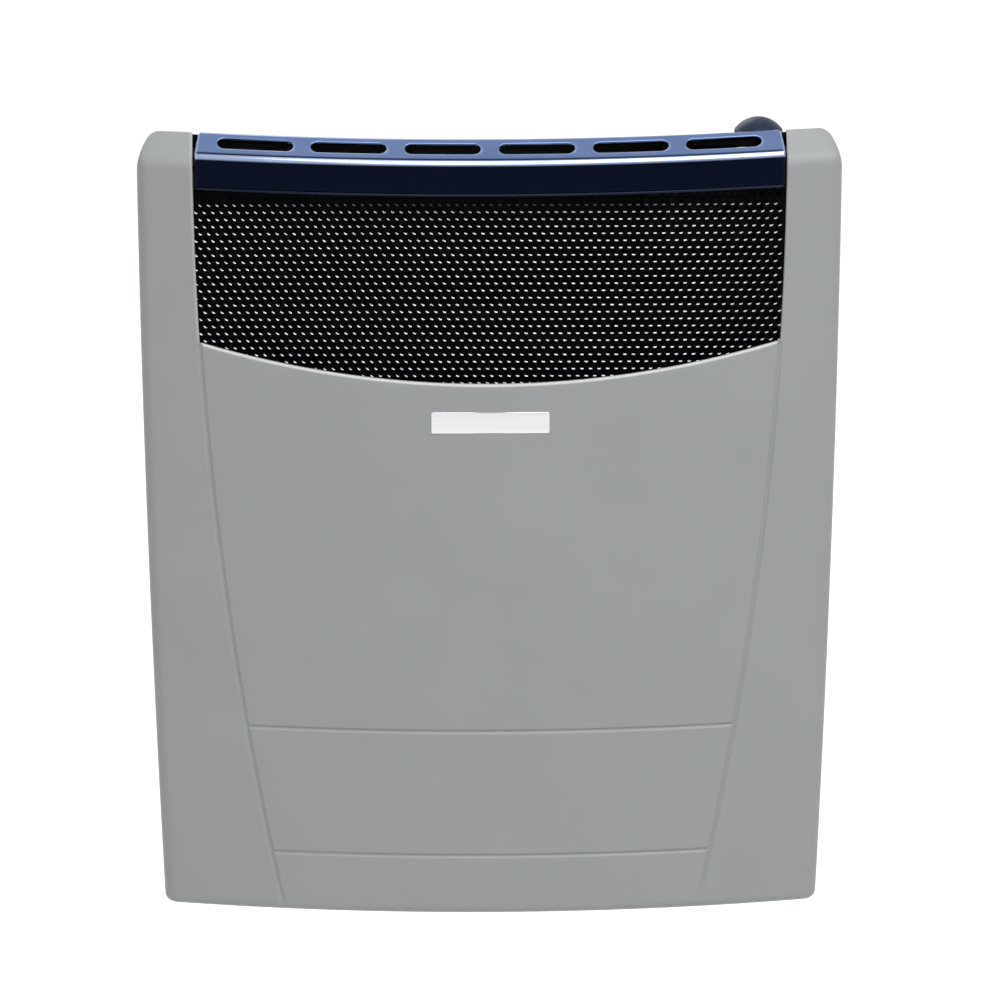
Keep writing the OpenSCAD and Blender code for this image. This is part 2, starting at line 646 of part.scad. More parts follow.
// ================= combustion chamber =================
module chamber_outline(g)
    translate([0, chamber_mid_h]) polygon(
        rounded(chamber_w + 2 * g, chamber_height + 2 * g, chamber_r + g));
module chamber_back() color([0.10, 0.10, 0.10]) difference() {
    union() {
        from_front(seam_y, -chamber_gap) chamber_outline(0);
        from_front(seam_y, seam_y + chamber_t) chamber_outline(seam_w);
    }
    from_front(seam_y - over, -chamber_gap - chamber_t) chamber_outline(-chamber_t);
    round_y(0, flue_h, -chamber_gap - 5, 0, exhaust_d / 2 - collar_t);
    from_front(-chamber_gap - 5, 0) translate([-78, duct_low + 2])
        square([156, duct_top - duct_low - 4]);
    for (y = [pilot_y, thermo_y, spark_y])
        round_x(y, lead_h, gland_x - 8, gland_x + 5, 2.6);
}
module chamber_front() color([0.10, 0.10, 0.10]) {
    rib_low = door_mid_h + door_h / 2 + 20;
    rib_top = chamber_top - 30;
    rib_mid = (rib_low + rib_top) / 2;
    rib_step = (chamber_w - 60) / rib_n;
    difference() {
        union() {
            from_front(chamber_front_y, seam_y) chamber_outline(0);
            from_front(seam_y - chamber_t, seam_y) chamber_outline(seam_w);
            for (i = [0:rib_n - 1]) from_front(chamber_front_y - 6, chamber_front_y + 1)
                translate([(i - (rib_n - 1) / 2) * rib_step, rib_mid])
                    polygon(rounded(26, rib_top - rib_low, 12));
        }
        from_front(chamber_front_y + chamber_t, seam_y + over) chamber_outline(-chamber_t);
        for (i = [0:rib_n - 1])
            from_front(chamber_front_y - 6 + chamber_t, chamber_front_y + 3)
                translate([(i - (rib_n - 1) / 2) * rib_step, rib_mid])
                    polygon(rounded(26 - 2 * chamber_t, rib_top - rib_low - 2 * chamber_t, 10));
        from_front(chamber_front_y - over, chamber_front_y + 3) translate([0, door_mid_h])
            polygon(rounded(door_w - 34, door_h - 28, 8));
        round_x(burner_y, burner_h, chamber_w / 2 - 5, chamber_w / 2 + 5, 6.3);
    }
    for (p = stud_places())
        round_y(p[0], p[1], chamber_front_y - 9, chamber_front_y + 0.5, stud_r);
}
function stud_places() = [for (x = [-1, 0, 1], s = [-1, 1])
    [x * (door_w / 2 - 9), door_mid_h + s * (door_h / 2 - 7)]];
module chamber_brackets() color([0.06, 0.06, 0.06]) mirrored() for (h = [chamber_low + 112, chamber_top - 50]) {
    x0 = chamber_w / 2;
    from_top(h - 12, h + 12) {
        translate([x0 + 0.1, seam_y + chamber_t + 4]) square([plate_metal,
            -seam_y - chamber_t - 4 - plate_metal]);
        translate([x0 + 0.1, -2 * plate_metal]) square([18, plate_metal]);
    }
}
module burner_door() color([0.13, 0.13, 0.13]) difference() {
    from_front(door_y - door_t, door_y) translate([0, door_mid_h])
        polygon(rounded(door_w, door_h, 10));
    round_y(sight_x, door_mid_h, door_y - 5, door_y + over, 13);
    for (p = stud_places()) round_y(p[0], p[1], door_y - 5, door_y + over, stud_r + 0.3);
}
module door_gasket() color([0.86, 0.84, 0.78]) difference() {
    from_front(door_y, chamber_front_y) translate([0, door_mid_h])
        polygon(rounded(door_w, door_h, 10));
    from_front(door_y - over, chamber_front_y + over) translate([0, door_mid_h])
        polygon(rounded(door_w - 34, door_h - 28, 8));
    for (p = stud_places())
        round_y(p[0], p[1], door_y - over, chamber_front_y + over, stud_r + 0.3);
}
module door_nuts() color([0.75, 0.70, 0.45]) for (p = stud_places())
    from_front(door_y - door_t - 4, door_y - door_t) translate([p[0], p[1]])
        difference() { circle(4.6, $fn = 6); circle(stud_r + 0.05); }
module sight_ring() color([0.72, 0.72, 0.70]) difference() {
    round_y(sight_x, door_mid_h, door_y - door_t - 4, door_y - door_t, 20);
    round_y(sight_x, door_mid_h, door_y - door_t - 2.2, door_y - door_t + over, 15.2);
    round_y(sight_x, door_mid_h, door_y - door_t - 6, door_y, 12);
}
module sight_glass() color([0.75, 0.85, 0.80, 0.5])
    round_y(sight_x, door_mid_h, door_y - door_t - 2.1, door_y - door_t, 15);

// ================= burner and pilot =================
burner_x1 = burner_l / 2;
module burner() color([0.55, 0.56, 0.58]) difference() {
    union() {
        round_x(burner_y, burner_h, -burner_l / 2, burner_x1, burner_r);
        translate([burner_x1, burner_y, burner_h - fix_h]) rotate([0, 90, 0])
            cylinder(r1 = burner_r, r2 = burner_r + 3, h = 8);
    }
    round_x(burner_y, burner_h, 1.5 - burner_l / 2, burner_x1 + 0.01, burner_r - 1.2);
    translate([burner_x1, burner_y, burner_h - fix_h]) rotate([0, 90, 0])
        cylinder(r1 = burner_r - 1.2, r2 = burner_r + 1.8, h = 8.01);
    for (i = [0:flame_n - 1]) let(x = (i - (flame_n - 1) / 2) * (burner_l - 60) / flame_n)
        translate([x, burner_y, burner_h + burner_r - 4 - fix_h])
            cube([1.6, 2 * burner_r, 8 + 0.001], center = true);
}
module burner_feet() color([0.60, 0.62, 0.64]) for (x = [35 - burner_l / 2, burner_l / 2 - 75])
    from_side(x, x + 2) translate([burner_y, 0]) difference() {
        translate([-12, chamber_low + chamber_t]) square([24, burner_h - chamber_low - 6]);
        translate([0, burner_h]) circle(burner_r + 0.1);
    }
module injector_holder() color([0.80, 0.66, 0.36]) {
    x0 = chamber_w / 2;
    difference() {
        union() {
            from_side(x0, x0 + 16) translate([burner_y, burner_h]) circle(11, $fn = 6);
            round_x(burner_y, burner_h, x0 - 10, x0 + 0.5, 6);
            round_z(port_x, burner_y, burner_h - 17, burner_h, 7);
        }
        round_x(burner_y, burner_h, x0 - 11, x0 + 12, 3);
        round_z(port_x, burner_y, burner_h - 18, burner_h, 3);
    }
}
module injector() color([0.85, 0.72, 0.40]) {
    x0 = chamber_w / 2 - 10;
    difference() {
        union() {
            from_side(x0 - 5, x0) translate([burner_y, burner_h]) circle(5, $fn = 6);
            round_x(burner_y, burner_h, x0 - 8, x0 - 4.5, 2.6);
        }
        round_x(burner_y, burner_h, x0 - 9, x0 - 5, 0.9);
        round_x(burner_y, burner_h, x0 - 5.5, x0 + over, 2);
    }
}
module pilot_bracket() color([0.62, 0.64, 0.66]) difference() {
    union() {
        from_top(pilot_h - plate_metal, pilot_h)
            translate([pilot_x - 14, spark_y - 5]) square([34, pilot_y - spark_y + 11]);
        from_top(chamber_low + chamber_t, pilot_h)
            translate([pilot_x + 20, spark_y - 5]) square([plate_metal, pilot_y - spark_y + 11]);
    }
    round_z(pilot_x, pilot_y, pilot_h - 3, pilot_h + 1, 5.1);
    round_z(pilot_x, thermo_y, pilot_h - 3, pilot_h + 1, 3.1);
    round_z(pilot_x, spark_y, pilot_h - 3, pilot_h + 1, 3.6);
    // the three lines pass the leg
    for (y = [pilot_y, thermo_y, spark_y])
        round_x(y, lead_h, pilot_x + 15, pilot_x + 25, 3);
}
module pilot_burner() color([0.80, 0.68, 0.40]) {
    round_z(pilot_x, pilot_y, lead_h + 3, pilot_h + 18, 5);
    round_z(pilot_x, pilot_y, pilot_h, pilot_h + 3, 5.6);
    difference() {
        round_z(pilot_x, pilot_y, pilot_h + 18, pilot_h + 26, 6.5);
        round_z(pilot_x, pilot_y, pilot_h + 20, pilot_h + 27, 5.3);
        from_top(pilot_h + 21, pilot_h + 24) translate([pilot_x, pilot_y])
            square([20, 4], center = true);
    }
}
module thermocouple() color([0.70, 0.72, 0.74]) {
    round_z(pilot_x, thermo_y, lead_h + 3, pilot_h + 26, 2.2);
    round_z(pilot_x, thermo_y, lead_h + 3, pilot_h + 12, 3);
    round_z(pilot_x, thermo_y, pilot_h, pilot_h + 2.5, 3.4);
}
module spark_electrode() color([0.93, 0.92, 0.88]) {
    round_z(pilot_x, spark_y, lead_h + 3, pilot_h + 16, 3.5);
    round_z(pilot_x, spark_y, pilot_h, pilot_h + 2, 4);
    round_z(pilot_x, spark_y, pilot_h + 16, pilot_h + 30, 0.9);
}

// ================= lines: tubes swept along chosen points =================
function unit(v) = v / norm(v);
// a smooth curve through points p, m steps to each span
function curve(p, m) = let(n = len(p)) concat(
    [for (i = [0:n - 2]) let(a = p[max(i - 1, 0)], b = p[i], c = p[i + 1], d = p[min(i + 2, n - 1)])
        for (k = [0:m - 1]) let(t = k / m)
            b + (c - a) * t / 2 + (2 * a - 5 * b + 4 * c - d) * t * t / 2
              + (3 * b - a - 3 * c + d) * t * t * t / 2],
    [p[n - 1]]);
// a tube of radius r along points p
module tube(p, r, sides = 8) {
    n = len(p);
    function along(i) = unit(p[min(i + 1, n - 1)] - p[max(i - 1, 0)]);
    function ring(i) = let(t = along(i), u = unit(cross(t, [0.37, 0.52, 0.77])), v = cross(t, u))
        [for (k = [0:sides - 1]) let(a = 360 * k / sides) p[i] + r * (u * cos(a) + v * sin(a))];
    polyhedron(
        points = [for (i = [0:n - 1]) each ring(i)],
        faces = concat(
            [for (i = [0:n - 2]) for (k = [0:sides - 1]) let(q = (k + 1) % sides)
                [i * sides + k, (i + 1) * sides + k, (i + 1) * sides + q]],
            [for (i = [0:n - 2]) for (k = [0:sides - 1]) let(q = (k + 1) % sides)
                [i * sides + k, (i + 1) * sides + q, i * sides + q]],
            [[for (k = [0:sides - 1]) k]],
            [[for (k = [sides - 1:-1:0]) (n - 1) * sides + k]]));
}
gland_t = 5;
gland_end = gland_x + gland_t;
module lead_gland() color([0.20, 0.20, 0.21]) difference() {
    from_top(lead_h - 6, lead_h + 6) translate([gland_x + 0.05, spark_y - 3.5])
        square([gland_t, pilot_y - spark_y + 7.5]);
    for (y = [pilot_y, thermo_y, spark_y])
        round_x(y, lead_h, gland_x - over, gland_end + over, 2.4);
}
module pilot_tube() color([0.78, 0.48, 0.30]) at_h(0) tube(curve([
    [pilot_x, pilot_y, lead_h + 2.7], [pilot_x, pilot_y, lead_h + 1.7],
    [pilot_x, pilot_y, lead_h + 0.7], [pilot_x + 5, pilot_y, lead_h],
    [pilot_x + 30, pilot_y, lead_h], [gland_x, pilot_y, lead_h],
    [gland_x + 14, pilot_y, lead_h], [gland_x + 22, pilot_y - 8, lead_h - 2],
    [gland_x + 23, pilot_y - 28, lead_h - 4], [gland_x + 21, valve_y0 + 34, lead_h - 5],
    [gland_x + 19, valve_y0 + 18, lead_h - 12], [valve_x0 - 5.6, valve_y0 + 11.4, lead_h - 18.6],
    [valve_x0 - 3.6, valve_y0 + 11, lead_h - 19], [valve_x0 - 2, valve_y0 + 11, lead_h - 19],
    [valve_x0 - 0.3, valve_y0 + 11, lead_h - 19]], 3), 1.5);
module thermocouple_lead() color([0.75, 0.45, 0.28]) at_h(0) tube(curve([
    [pilot_x, thermo_y, lead_h + 2.7], [pilot_x, thermo_y, lead_h + 1.7],
    [pilot_x, thermo_y, lead_h + 0.7], [pilot_x + 4, thermo_y, lead_h],
    [pilot_x + 30, thermo_y, lead_h], [gland_x, thermo_y, lead_h],
    [gland_x + 10, thermo_y, lead_h - 1], [gland_x + 14, thermo_y - 2, lead_h - 15],
    [gland_x + 14, thermo_y - 6, 80], [gland_x + 15, thermo_y - 16, 56],
    [gland_x + 21, knob_y + 8, 46], [valve_x0 - 2, valve_y0 + 2, 46],
    [valve_x0 + 6, valve_y0 - 20, 54], [valve_x0 + 8, valve_y0 - 27, 68],
    [valve_x0 + 8, valve_y0 - 24, 77.5], [valve_x0 + 8, valve_y0 - 18.2, 78]], 3), 1.2);
lead_top = igniter_low - 52;
function lead_way(k) = lead_h + (lead_top - lead_h) * k;   // height part way up to there
module ignition_lead() color([0.25, 0.22, 0.20]) at_h(0) tube(curve([
    [igniter_x, igniter_y, igniter_low - 6.3], [igniter_x, igniter_y, igniter_low - 9],
    [igniter_x, igniter_y, igniter_low - 12], [igniter_x + 2, igniter_y + 1, igniter_low - 20],
    [igniter_x + 18, igniter_y + 14, igniter_low - 40],
    [gland_x + 20, seam_y - 12, lead_top], [gland_x + 26, seam_y + 4, lead_way(0.91)],
    [gland_x + 26, seam_y + 9, lead_way(0.67)], [gland_x + 26, seam_y + 10, lead_way(0.43)],
    [gland_x + 26, seam_y + 9, lead_way(0.194)], [gland_x + 24, seam_y + 7, lead_way(0.066)],
    [gland_x + 18, spark_y, lead_h + 6], [gland_x + 10, spark_y, lead_h],
    [gland_x, spark_y, lead_h], [pilot_x + 30, spark_y, lead_h],
    [pilot_x + 5, spark_y, lead_h], [pilot_x, spark_y, lead_h + 0.7],
    [pilot_x, spark_y, lead_h + 1.7], [pilot_x, spark_y, lead_h + 2.7]], 3), 1.8);

// ================= gas valve and pipes =================
module valve_bracket() color([0.60, 0.62, 0.64]) {
    x0 = valve_x0 - 10;
    from_top(valve_low, valve_top - 2) {
        translate([x0, valve_y1]) square([valve_w + 8, plate_metal]);
        translate([x0, valve_y1]) square([plate_metal, -valve_y1 - plate_metal]);
        translate([x0 - 24, -2 * plate_metal]) square([24 + plate_metal, plate_metal]);
    }
}
module valve_body() color([0.70, 0.71, 0.73]) {
    difference() {
        union() {
            from_top(valve_low, valve_top) translate([knob_x, knob_y])
                polygon(rounded(valve_w, valve_w, 5, 3));
            round_z(knob_x, knob_y, valve_low - 8, valve_low + 1, 9);
            round_x(burner_y, outlet_h, valve_x0 - 5, valve_x0 + 1, 6.5);
            round_y(valve_x0 + 32, 98, valve_y0 - 3, valve_y0 + 1, 5);
            round_y(valve_x0 + 8, 78, valve_y0 - 3, valve_y0 + 1, 7.6);
        }
        round_z(knob_x, knob_y, valve_top - 26, valve_top + over, rod_r + run_gap);
        round_z(knob_x, knob_y, valve_low - 9, valve_low + 10, 6.5);
        round_x(burner_y, outlet_h, valve_x0 - 6, valve_x0 + 10, pipe_r + 0.1);
        round_y(valve_x0 + 8, 78, valve_y0 - 4, valve_y0 + 8, 6.1);
        from_front(valve_y0 - 4, valve_y0 - 2) translate([valve_x0 + 32, 98])
            square([8, 1.2], center = true);
    }
}
module valve_bonnet() color([0.64, 0.65, 0.67]) difference() {
    union() {
        from_top(valve_top, valve_top + bonnet_t) translate([knob_x, knob_y])
            polygon(rounded(valve_w, valve_w, 5, 3));
        round_z(knob_x, knob_y, valve_top, neck_top, 9);
    }
    round_z(knob_x, knob_y, valve_top - over, neck_top + over, rod_r + run_gap);
}
module bonnet_screws() color([0.75, 0.75, 0.77])
    for (sx = [-1, 1], sy = [-1, 1]) difference() {
        round_z(knob_x + sx * 15, knob_y + sy * 15, valve_top + bonnet_t,
            valve_top + bonnet_t + 2.6, 3.4);
        from_top(valve_top + bonnet_t + 1.4, valve_top + bonnet_t + 3)
            translate([knob_x + sx * 15, knob_y + sy * 15]) square([8, 1], center = true);
    }
module magnet_unit() color([0.78, 0.66, 0.38]) {
    round_y(valve_x0 + 8, 78, valve_y0 - 12, valve_y0 + 7, 6);
    from_front(valve_y0 - 12, valve_y0 - 4) translate([valve_x0 + 8, 78]) circle(8, $fn = 6);
    round_y(valve_x0 + 8, 78, valve_y0 - 18, valve_y0 - 11, 4);
}
elbow_r = 10;
module burner_pipe() color([0.75, 0.76, 0.78]) {
    round_z(port_x, burner_y, outlet_h + elbow_r, burner_h - 17.1, pipe_r);
    translate([port_x + elbow_r, burner_y, outlet_h + elbow_r - fix_h])
        rotate([90, 0, 0]) rotate([0, 0, 180]) rotate_extrude(angle = 90)
            translate([elbow_r, 0]) circle(pipe_r);
    round_x(burner_y, outlet_h, port_x + elbow_r, valve_x0 + 8, pipe_r);
}
module pipe_nuts() color([0.80, 0.68, 0.40]) {
    from_top(burner_h - 29, burner_h - 17.1) translate([port_x, burner_y])
        difference() { circle(8.5, $fn = 6); circle(pipe_r + 0.05); }
}
module inlet_pipe() color([0.74, 0.75, 0.77]) from_top(38, valve_low - 8) translate([knob_x, knob_y])
    difference() { circle(8); circle(6.5); }
module union_nut() color([0.72, 0.72, 0.72]) difference() {
    from_top(47, 60) translate([knob_x, knob_y]) circle(13.5, $fn = 6);
    round_z(knob_x, knob_y, valve_low - 8, 61, 9.05);
    round_z(knob_x, knob_y, 46, valve_low, 8.05);
}
inlet_low = 12;
module gas_inlet() color([0.80, 0.68, 0.40]) difference() {
    union() {
        round_z(knob_x, knob_y, inlet_low, 31, inlet_d / 2);
        from_top(30, 38) translate([knob_x, knob_y]) circle(14, $fn = 6);
    }
    round_z(knob_x, knob_y, inlet_low - over, 39, 6.5);
}

// ================= controls =================
module control_shelf() color([0.06, 0.06, 0.06]) difference() {
    union() {
        from_side(shelf_x0, shelf_x1) polygon([
            [shelf_y0, shelf_h], [shelf_y1, shelf_h], [shelf_y1, ledge_h],
            [-2 * plate_metal, ledge_h], [-2 * plate_metal, ledge_h + plate_metal],
            [shelf_y1 + plate_metal, ledge_h + plate_metal],
            [shelf_y1 + plate_metal, shelf_h + plate_metal], [shelf_y0, shelf_h + plate_metal]]);
        from_side(shelf_x0, fix_dx / 2 - 12) translate([-2 * plate_metal, ledge_h - 25])
            square([plate_metal, 25 + plate_metal]);
    }
    round_z(knob_x, knob_y, shelf_h - over, shelf_h + 3, 6.6);
    round_z(igniter_x, igniter_y, shelf_h - over, shelf_h + 3, neck_r + 0.1);
    // way for a screwdriver to the fixing behind
    round_y(fix_dx / 2, fix_h + fix_dz / 2, shelf_y1 - over, shelf_y1 + plate_metal + over, 9);
}
module rod_bush() color([0.82, 0.70, 0.42]) difference() {
    union() {
        round_z(knob_x, knob_y, shelf_h + plate_metal, bush_top, 9);
        round_z(knob_x, knob_y, shelf_h - 6, bush_top, 6.5);
    }
    round_z(knob_x, knob_y, shelf_h - 7, bush_top + over, rod_r + run_gap);
}
module control_rod() color([0.74, 0.75, 0.77])
    round_z(knob_x, knob_y, spindle_top + 0.1, hub_low + 8, rod_r);
module valve_spindle() color([0.70, 0.70, 0.66])
    round_z(knob_x, knob_y, valve_top - 19, spindle_top, rod_r);
module rod_coupling() color([0.66, 0.66, 0.68]) difference() {
    round_z(knob_x, knob_y, neck_top + push_travel + 1, neck_top + push_travel + 21, 7.5);
    round_z(knob_x, knob_y, neck_top, neck_top + push_travel + 30, rod_r + 0.03);
    for (h = [6, 15]) round_x(knob_y, neck_top + push_travel + h, knob_x + rod_r, knob_x + 9, 1.5);
}
module thrust_washer() color([0.72, 0.72, 0.72]) difference() {
    round_z(knob_x, knob_y, washer_low, washer_top, 9.5);
    round_z(knob_x, knob_y, washer_low - over, washer_top + over, rod_r + fit_gap);
}
// a coil spring standing from height h0 to h1
module coil(x, y, h0, h1, r, wire, turns) at_h(0) tube([for (k = [0:turns * 14])
    let(a = k * 360 / 14, flat = wire + (h1 - h0 - 2 * wire) * k / (turns * 14))
    [x + r * cos(a), y + r * sin(a), h0 + flat]], wire, 6);
module knob_spring() color([0.76, 0.76, 0.78])
    coil(knob_x, knob_y, bush_top + fit_gap, washer_low - fit_gap, 6.4, 0.6, 5);
module knob() color([0.22, 0.24, 0.31]) difference() {
    translate([knob_x, knob_y, -fix_h]) rotate_extrude() polygon(concat(
        [[rod_r + 0.03, hub_low], [7.5, hub_low], [7.5, knob_top - 10.4],
         [knob_r - 3, knob_top - 10.4], [knob_r - 2.4, knob_base]],
        [[knob_r - 0.6, knob_base], [knob_r, knob_base + 0.6]],
        [for (k = [0:8]) let(a = asin(knob_r / knob_dome_r) * (1 - k / 8))
            [knob_dome_r * sin(a), knob_top - knob_dome_r * (1 - cos(a))]],
        [[0, hub_low + 8.1], [rod_r + 0.03, hub_low + 8.1]]));
    for (a = [0:15:345]) rotate_about(knob_x, knob_y, a)
        round_z(knob_r + 1.1, 0, knob_base - over, knob_base + knob_skirt - 1.5, 1.7);
}
module rotate_about(x, y, a) translate([x, y, 0]) rotate([0, 0, a]) children();
module igniter_body() color([0.10, 0.10, 0.11]) difference() {
    union() {
        round_z(igniter_x, igniter_y, igniter_low, shelf_h, 10.5);
        round_z(igniter_x, igniter_y, shelf_h - over, shelf_h + 8, neck_r);
        round_z(igniter_x, igniter_y, igniter_low - 6, igniter_low + over, 2);
    }
    round_z(igniter_x, igniter_y, igniter_low + 28, shelf_h + 9, button_r + run_gap);
}
module igniter_nut() color([0.75, 0.75, 0.77])
    from_top(shelf_h + plate_metal, shelf_h + plate_metal + 4) translate([igniter_x, igniter_y])
        difference() { circle(13, $fn = 6); circle(neck_r + 0.05); }
module igniter_button() color([0.12, 0.12, 0.13]) translate([igniter_x, igniter_y, -fix_h])
    rotate_extrude() polygon([[0, igniter_low + 46], [button_r, igniter_low + 46],
        [button_r, button_top - 1.6], [button_r - 0.5, button_top - 0.6],
        [button_r - 1.8, button_top - 0.1], [0, button_top]]);
module igniter_spring() color([0.76, 0.76, 0.78])
    coil(igniter_x, igniter_y, igniter_low + 28 + fit_gap, igniter_low + 46 - fit_gap,
        4.6, 0.5, 6);

casing();
top_band();
band_seals();
grille();
grille_clips();
nameplate();
casing_screws();
wall_plate();
side_rails();
heat_shield();
air_box();
air_collar();
exhaust_collar();
flue_gasket();
chamber_back();
chamber_front();
chamber_brackets();
burner_door();
door_gasket();
door_nuts();
sight_ring();
sight_glass();
burner();
burner_feet();
injector_holder();
injector();
pilot_bracket();
pilot_burner();
pilot_tube();
thermocouple();
thermocouple_lead();
spark_electrode();
ignition_lead();
lead_gland();
valve_bracket();
valve_body();
valve_bonnet();
bonnet_screws();
magnet_unit();
burner_pipe();
pipe_nuts();
inlet_pipe();
union_nut();
gas_inlet();
control_shelf();
rod_bush();
control_rod();
valve_spindle();
rod_coupling();
thrust_washer();
knob_spring();
knob();
igniter_body();
igniter_nut();
igniter_button();
igniter_spring();
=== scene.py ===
# Wall mounted gas heater: its looks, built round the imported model.
import math

import bmesh
import bpy
import numpy as np
from mathutils import Matrix, Vector
from mathutils.geometry import delaunay_2d_cdt


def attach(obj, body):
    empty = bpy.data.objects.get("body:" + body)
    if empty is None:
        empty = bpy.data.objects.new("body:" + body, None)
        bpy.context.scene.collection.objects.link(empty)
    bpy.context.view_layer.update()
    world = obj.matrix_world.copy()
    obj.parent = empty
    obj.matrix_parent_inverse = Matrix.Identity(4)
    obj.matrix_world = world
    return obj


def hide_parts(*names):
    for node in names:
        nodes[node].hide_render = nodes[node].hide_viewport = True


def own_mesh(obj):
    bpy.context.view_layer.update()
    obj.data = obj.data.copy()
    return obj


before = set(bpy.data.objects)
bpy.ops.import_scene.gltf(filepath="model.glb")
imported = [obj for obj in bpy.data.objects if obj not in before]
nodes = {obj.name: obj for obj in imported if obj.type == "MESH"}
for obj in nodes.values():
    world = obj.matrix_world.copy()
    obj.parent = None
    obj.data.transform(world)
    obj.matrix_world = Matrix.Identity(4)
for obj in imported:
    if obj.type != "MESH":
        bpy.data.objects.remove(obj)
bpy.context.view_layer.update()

# Shapes are worked out in millimetres as (x, y, height above the casing's bottom edge);
# the frame's own zero lies at the height of the fixings.
mm = 0.001
fixingH = 310.0
pointGap, fineGap = 0.02, 0.004    # points nearer than this become one; finer on small pieces
tiny = 1e-6


def quads(rows, cols, flip=False, start=0):
    # corner numbers of the faces of a rows x cols grid
    r, c = np.meshgrid(np.arange(rows - 1), np.arange(cols - 1), indexing="ij")
    a = (start + r * cols + c).ravel()
    f = np.stack([a, a + 1, a + cols + 1, a + cols], axis=1)
    return f[:, ::-1] if flip else f


def linked(name, data):
    obj = bpy.data.objects.new(name, data)
    bpy.context.scene.collection.objects.link(obj)
    return obj


class Patches:
    # gathers grids of points and loose faces; look is a face's finish, and each point carries its
    # share of painted highlight
    def __init__(self):
        self.points, self.faces, self.looks, self.worn, self.count = [], [], [], [], 0

    def add(self, p, faces, look=0, worn=0.0):
        self.points.append(p)
        self.faces.extend(faces)
        self.looks.append(np.broadcast_to(look, len(faces)))
        self.worn.append(np.broadcast_to(worn, len(p)))
        self.count += len(p)

    def grid(self, p, flip=False, look=0, worn=0.0):
        rows, cols = p.shape[:2]
        worn = np.broadcast_to(worn, (rows, cols)).ravel()
        self.add(p.reshape(-1, 3), quads(rows, cols, flip, self.count).tolist(), look, worn)

    def loose(self, p, faces):
        self.add(np.asarray(p, float), [[self.count + i for i in f] for f in faces])

    def piece(self, name, looks, body, merge=pointGap, sheet=0.0, crease=32.0,
              closed=False, plane=None, alongPlane=0.9998):
        # merge and sheet in millimetres, crease in degrees; a sheet is thickened inwards, a
        # closed piece is turned face outwards, and faces that look along plane are shaded flat
        co = np.concatenate(self.points) * mm
        co[:, 2] -= fixingH * mm
        mesh = bpy.data.meshes.new(name)
        mesh.from_pydata(co.tolist(), [], self.faces)
        for look in looks:
            mesh.materials.append(look)
        mesh.polygons.foreach_set("material_index", np.concatenate(self.looks).astype(np.int32))
        # each point's share of painted highlight, read by the materials
        paintedGlint = mesh.attributes.new("paintedGlint", "FLOAT", "POINT")
        paintedGlint.data.foreach_set("value", np.concatenate(self.worn).astype(np.float32))
        obj = linked(name, mesh)
        bm = bmesh.new()
        bm.from_mesh(mesh)
        bmesh.ops.remove_doubles(bm, verts=bm.verts, dist=merge * mm)
        bmesh.ops.dissolve_degenerate(bm, edges=bm.edges, dist=tiny)
        if closed:
            bmesh.ops.recalc_face_normals(bm, faces=bm.faces)
        bm.normal_update()
        for e in bm.edges:
            if len(e.link_faces) == 2 and e.calc_face_angle(0) > math.radians(crease):
                e.smooth = False
        for f in bm.faces:
            f.smooth = plane is None or f.normal.dot(plane) < alongPlane
        bm.to_mesh(mesh)
        bm.free()
        if sheet:
            thick = obj.modifiers.new("sheet", "SOLIDIFY")
            thick.thickness = sheet * mm
            thick.offset = -1.0
            thick.use_quality_normals = True
            thick.material_offset = 1
        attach(obj, body)
        return obj


def feed(tree, socket, value):
    # links another socket to this one, or puts a fixed value on it
    if isinstance(value, bpy.types.NodeSocket):
        tree.links.new(value, socket)
    else:
        socket.default_value = (*value, 1) if socket.type == "RGBA" else value


def addNode(tree, kind, **values):
    node = tree.nodes.new("ShaderNode" + kind)
    for key, value in values.items():
        feed(tree, node.inputs[key], value)
    return node


def nodeMaterial(name, specular=0.5, **values):
    mat = bpy.data.materials.new(name)
    mat.use_nodes = True
    shader = mat.node_tree.nodes["Principled BSDF"]
    shader.inputs["Specular IOR Level"].default_value = specular
    for key, value in values.items():
        feed(mat.node_tree, shader.inputs[key], value)
    return mat, mat.node_tree, shader


def objectCoords(tree, scale=(1, 1, 1)):
    # the piece's own coordinates in metres, stretched by scale
    own = addNode(tree, "TexCoord").outputs["Object"]
    return addNode(tree, "Mapping", Vector=own, Scale=scale).outputs["Vector"]


def noise(tree, vector, scale, detail=3.0, rough=0.5):
    node = addNode(tree, "TexNoise", Vector=vector, Scale=scale, Detail=detail, Roughness=rough)
    return node.outputs["Fac"]


def ramp(tree, value, stops):
    # colour ramp with (place, colour) stops
    node = addNode(tree, "ValToRGB", Fac=value)
    els = node.color_ramp.elements
    while len(els) < len(stops):
        els.new(0.5)
    for e, (place, colour) in zip(els, stops):
        e.position = place
        e.color = (*colour, 1)
    return node.outputs["Color"]


def mapped(tree, value, fromLow, fromHigh, low=0.0, high=1.0):
    # a value brought from one range into another and held at its ends
    ends = {"From Min": fromLow, "From Max": fromHigh, "To Min": low, "To Max": high}
    return addNode(tree, "MapRange", Value=value, **ends).outputs["Result"]


def spread(tree, value, low, high):
    # brings the middle half of a 0..1 value into low..high
    return mapped(tree, value, 0.25, 0.75, low, high)


def mixed(tree, how, amount, first, second):
    # two colours mixed; amount, first and second are each a socket or a fixed value
    m = tree.nodes.new("ShaderNodeMix")
    m.data_type, m.blend_type = "RGBA", how
    for place, value in ((0, amount), (6, first), (7, second)):
        feed(tree, m.inputs[place], value)
    return m.outputs[2]


def toned(tree, value, colour, less, more, low=0.3, high=0.7):
    # a colour that goes from less to more of itself while value goes from low to high
    dim, pale = [c * less for c in colour], [min(1, c * more) for c in colour]
    return ramp(tree, value, [(low, dim), (high, pale)])


def wornFac(tree):
    # the share of painted highlight, kept on the mesh's points
    paintedGlint = addNode(tree, "Attribute")
    paintedGlint.attribute_name = "paintedGlint"
    return paintedGlint.outputs["Fac"]


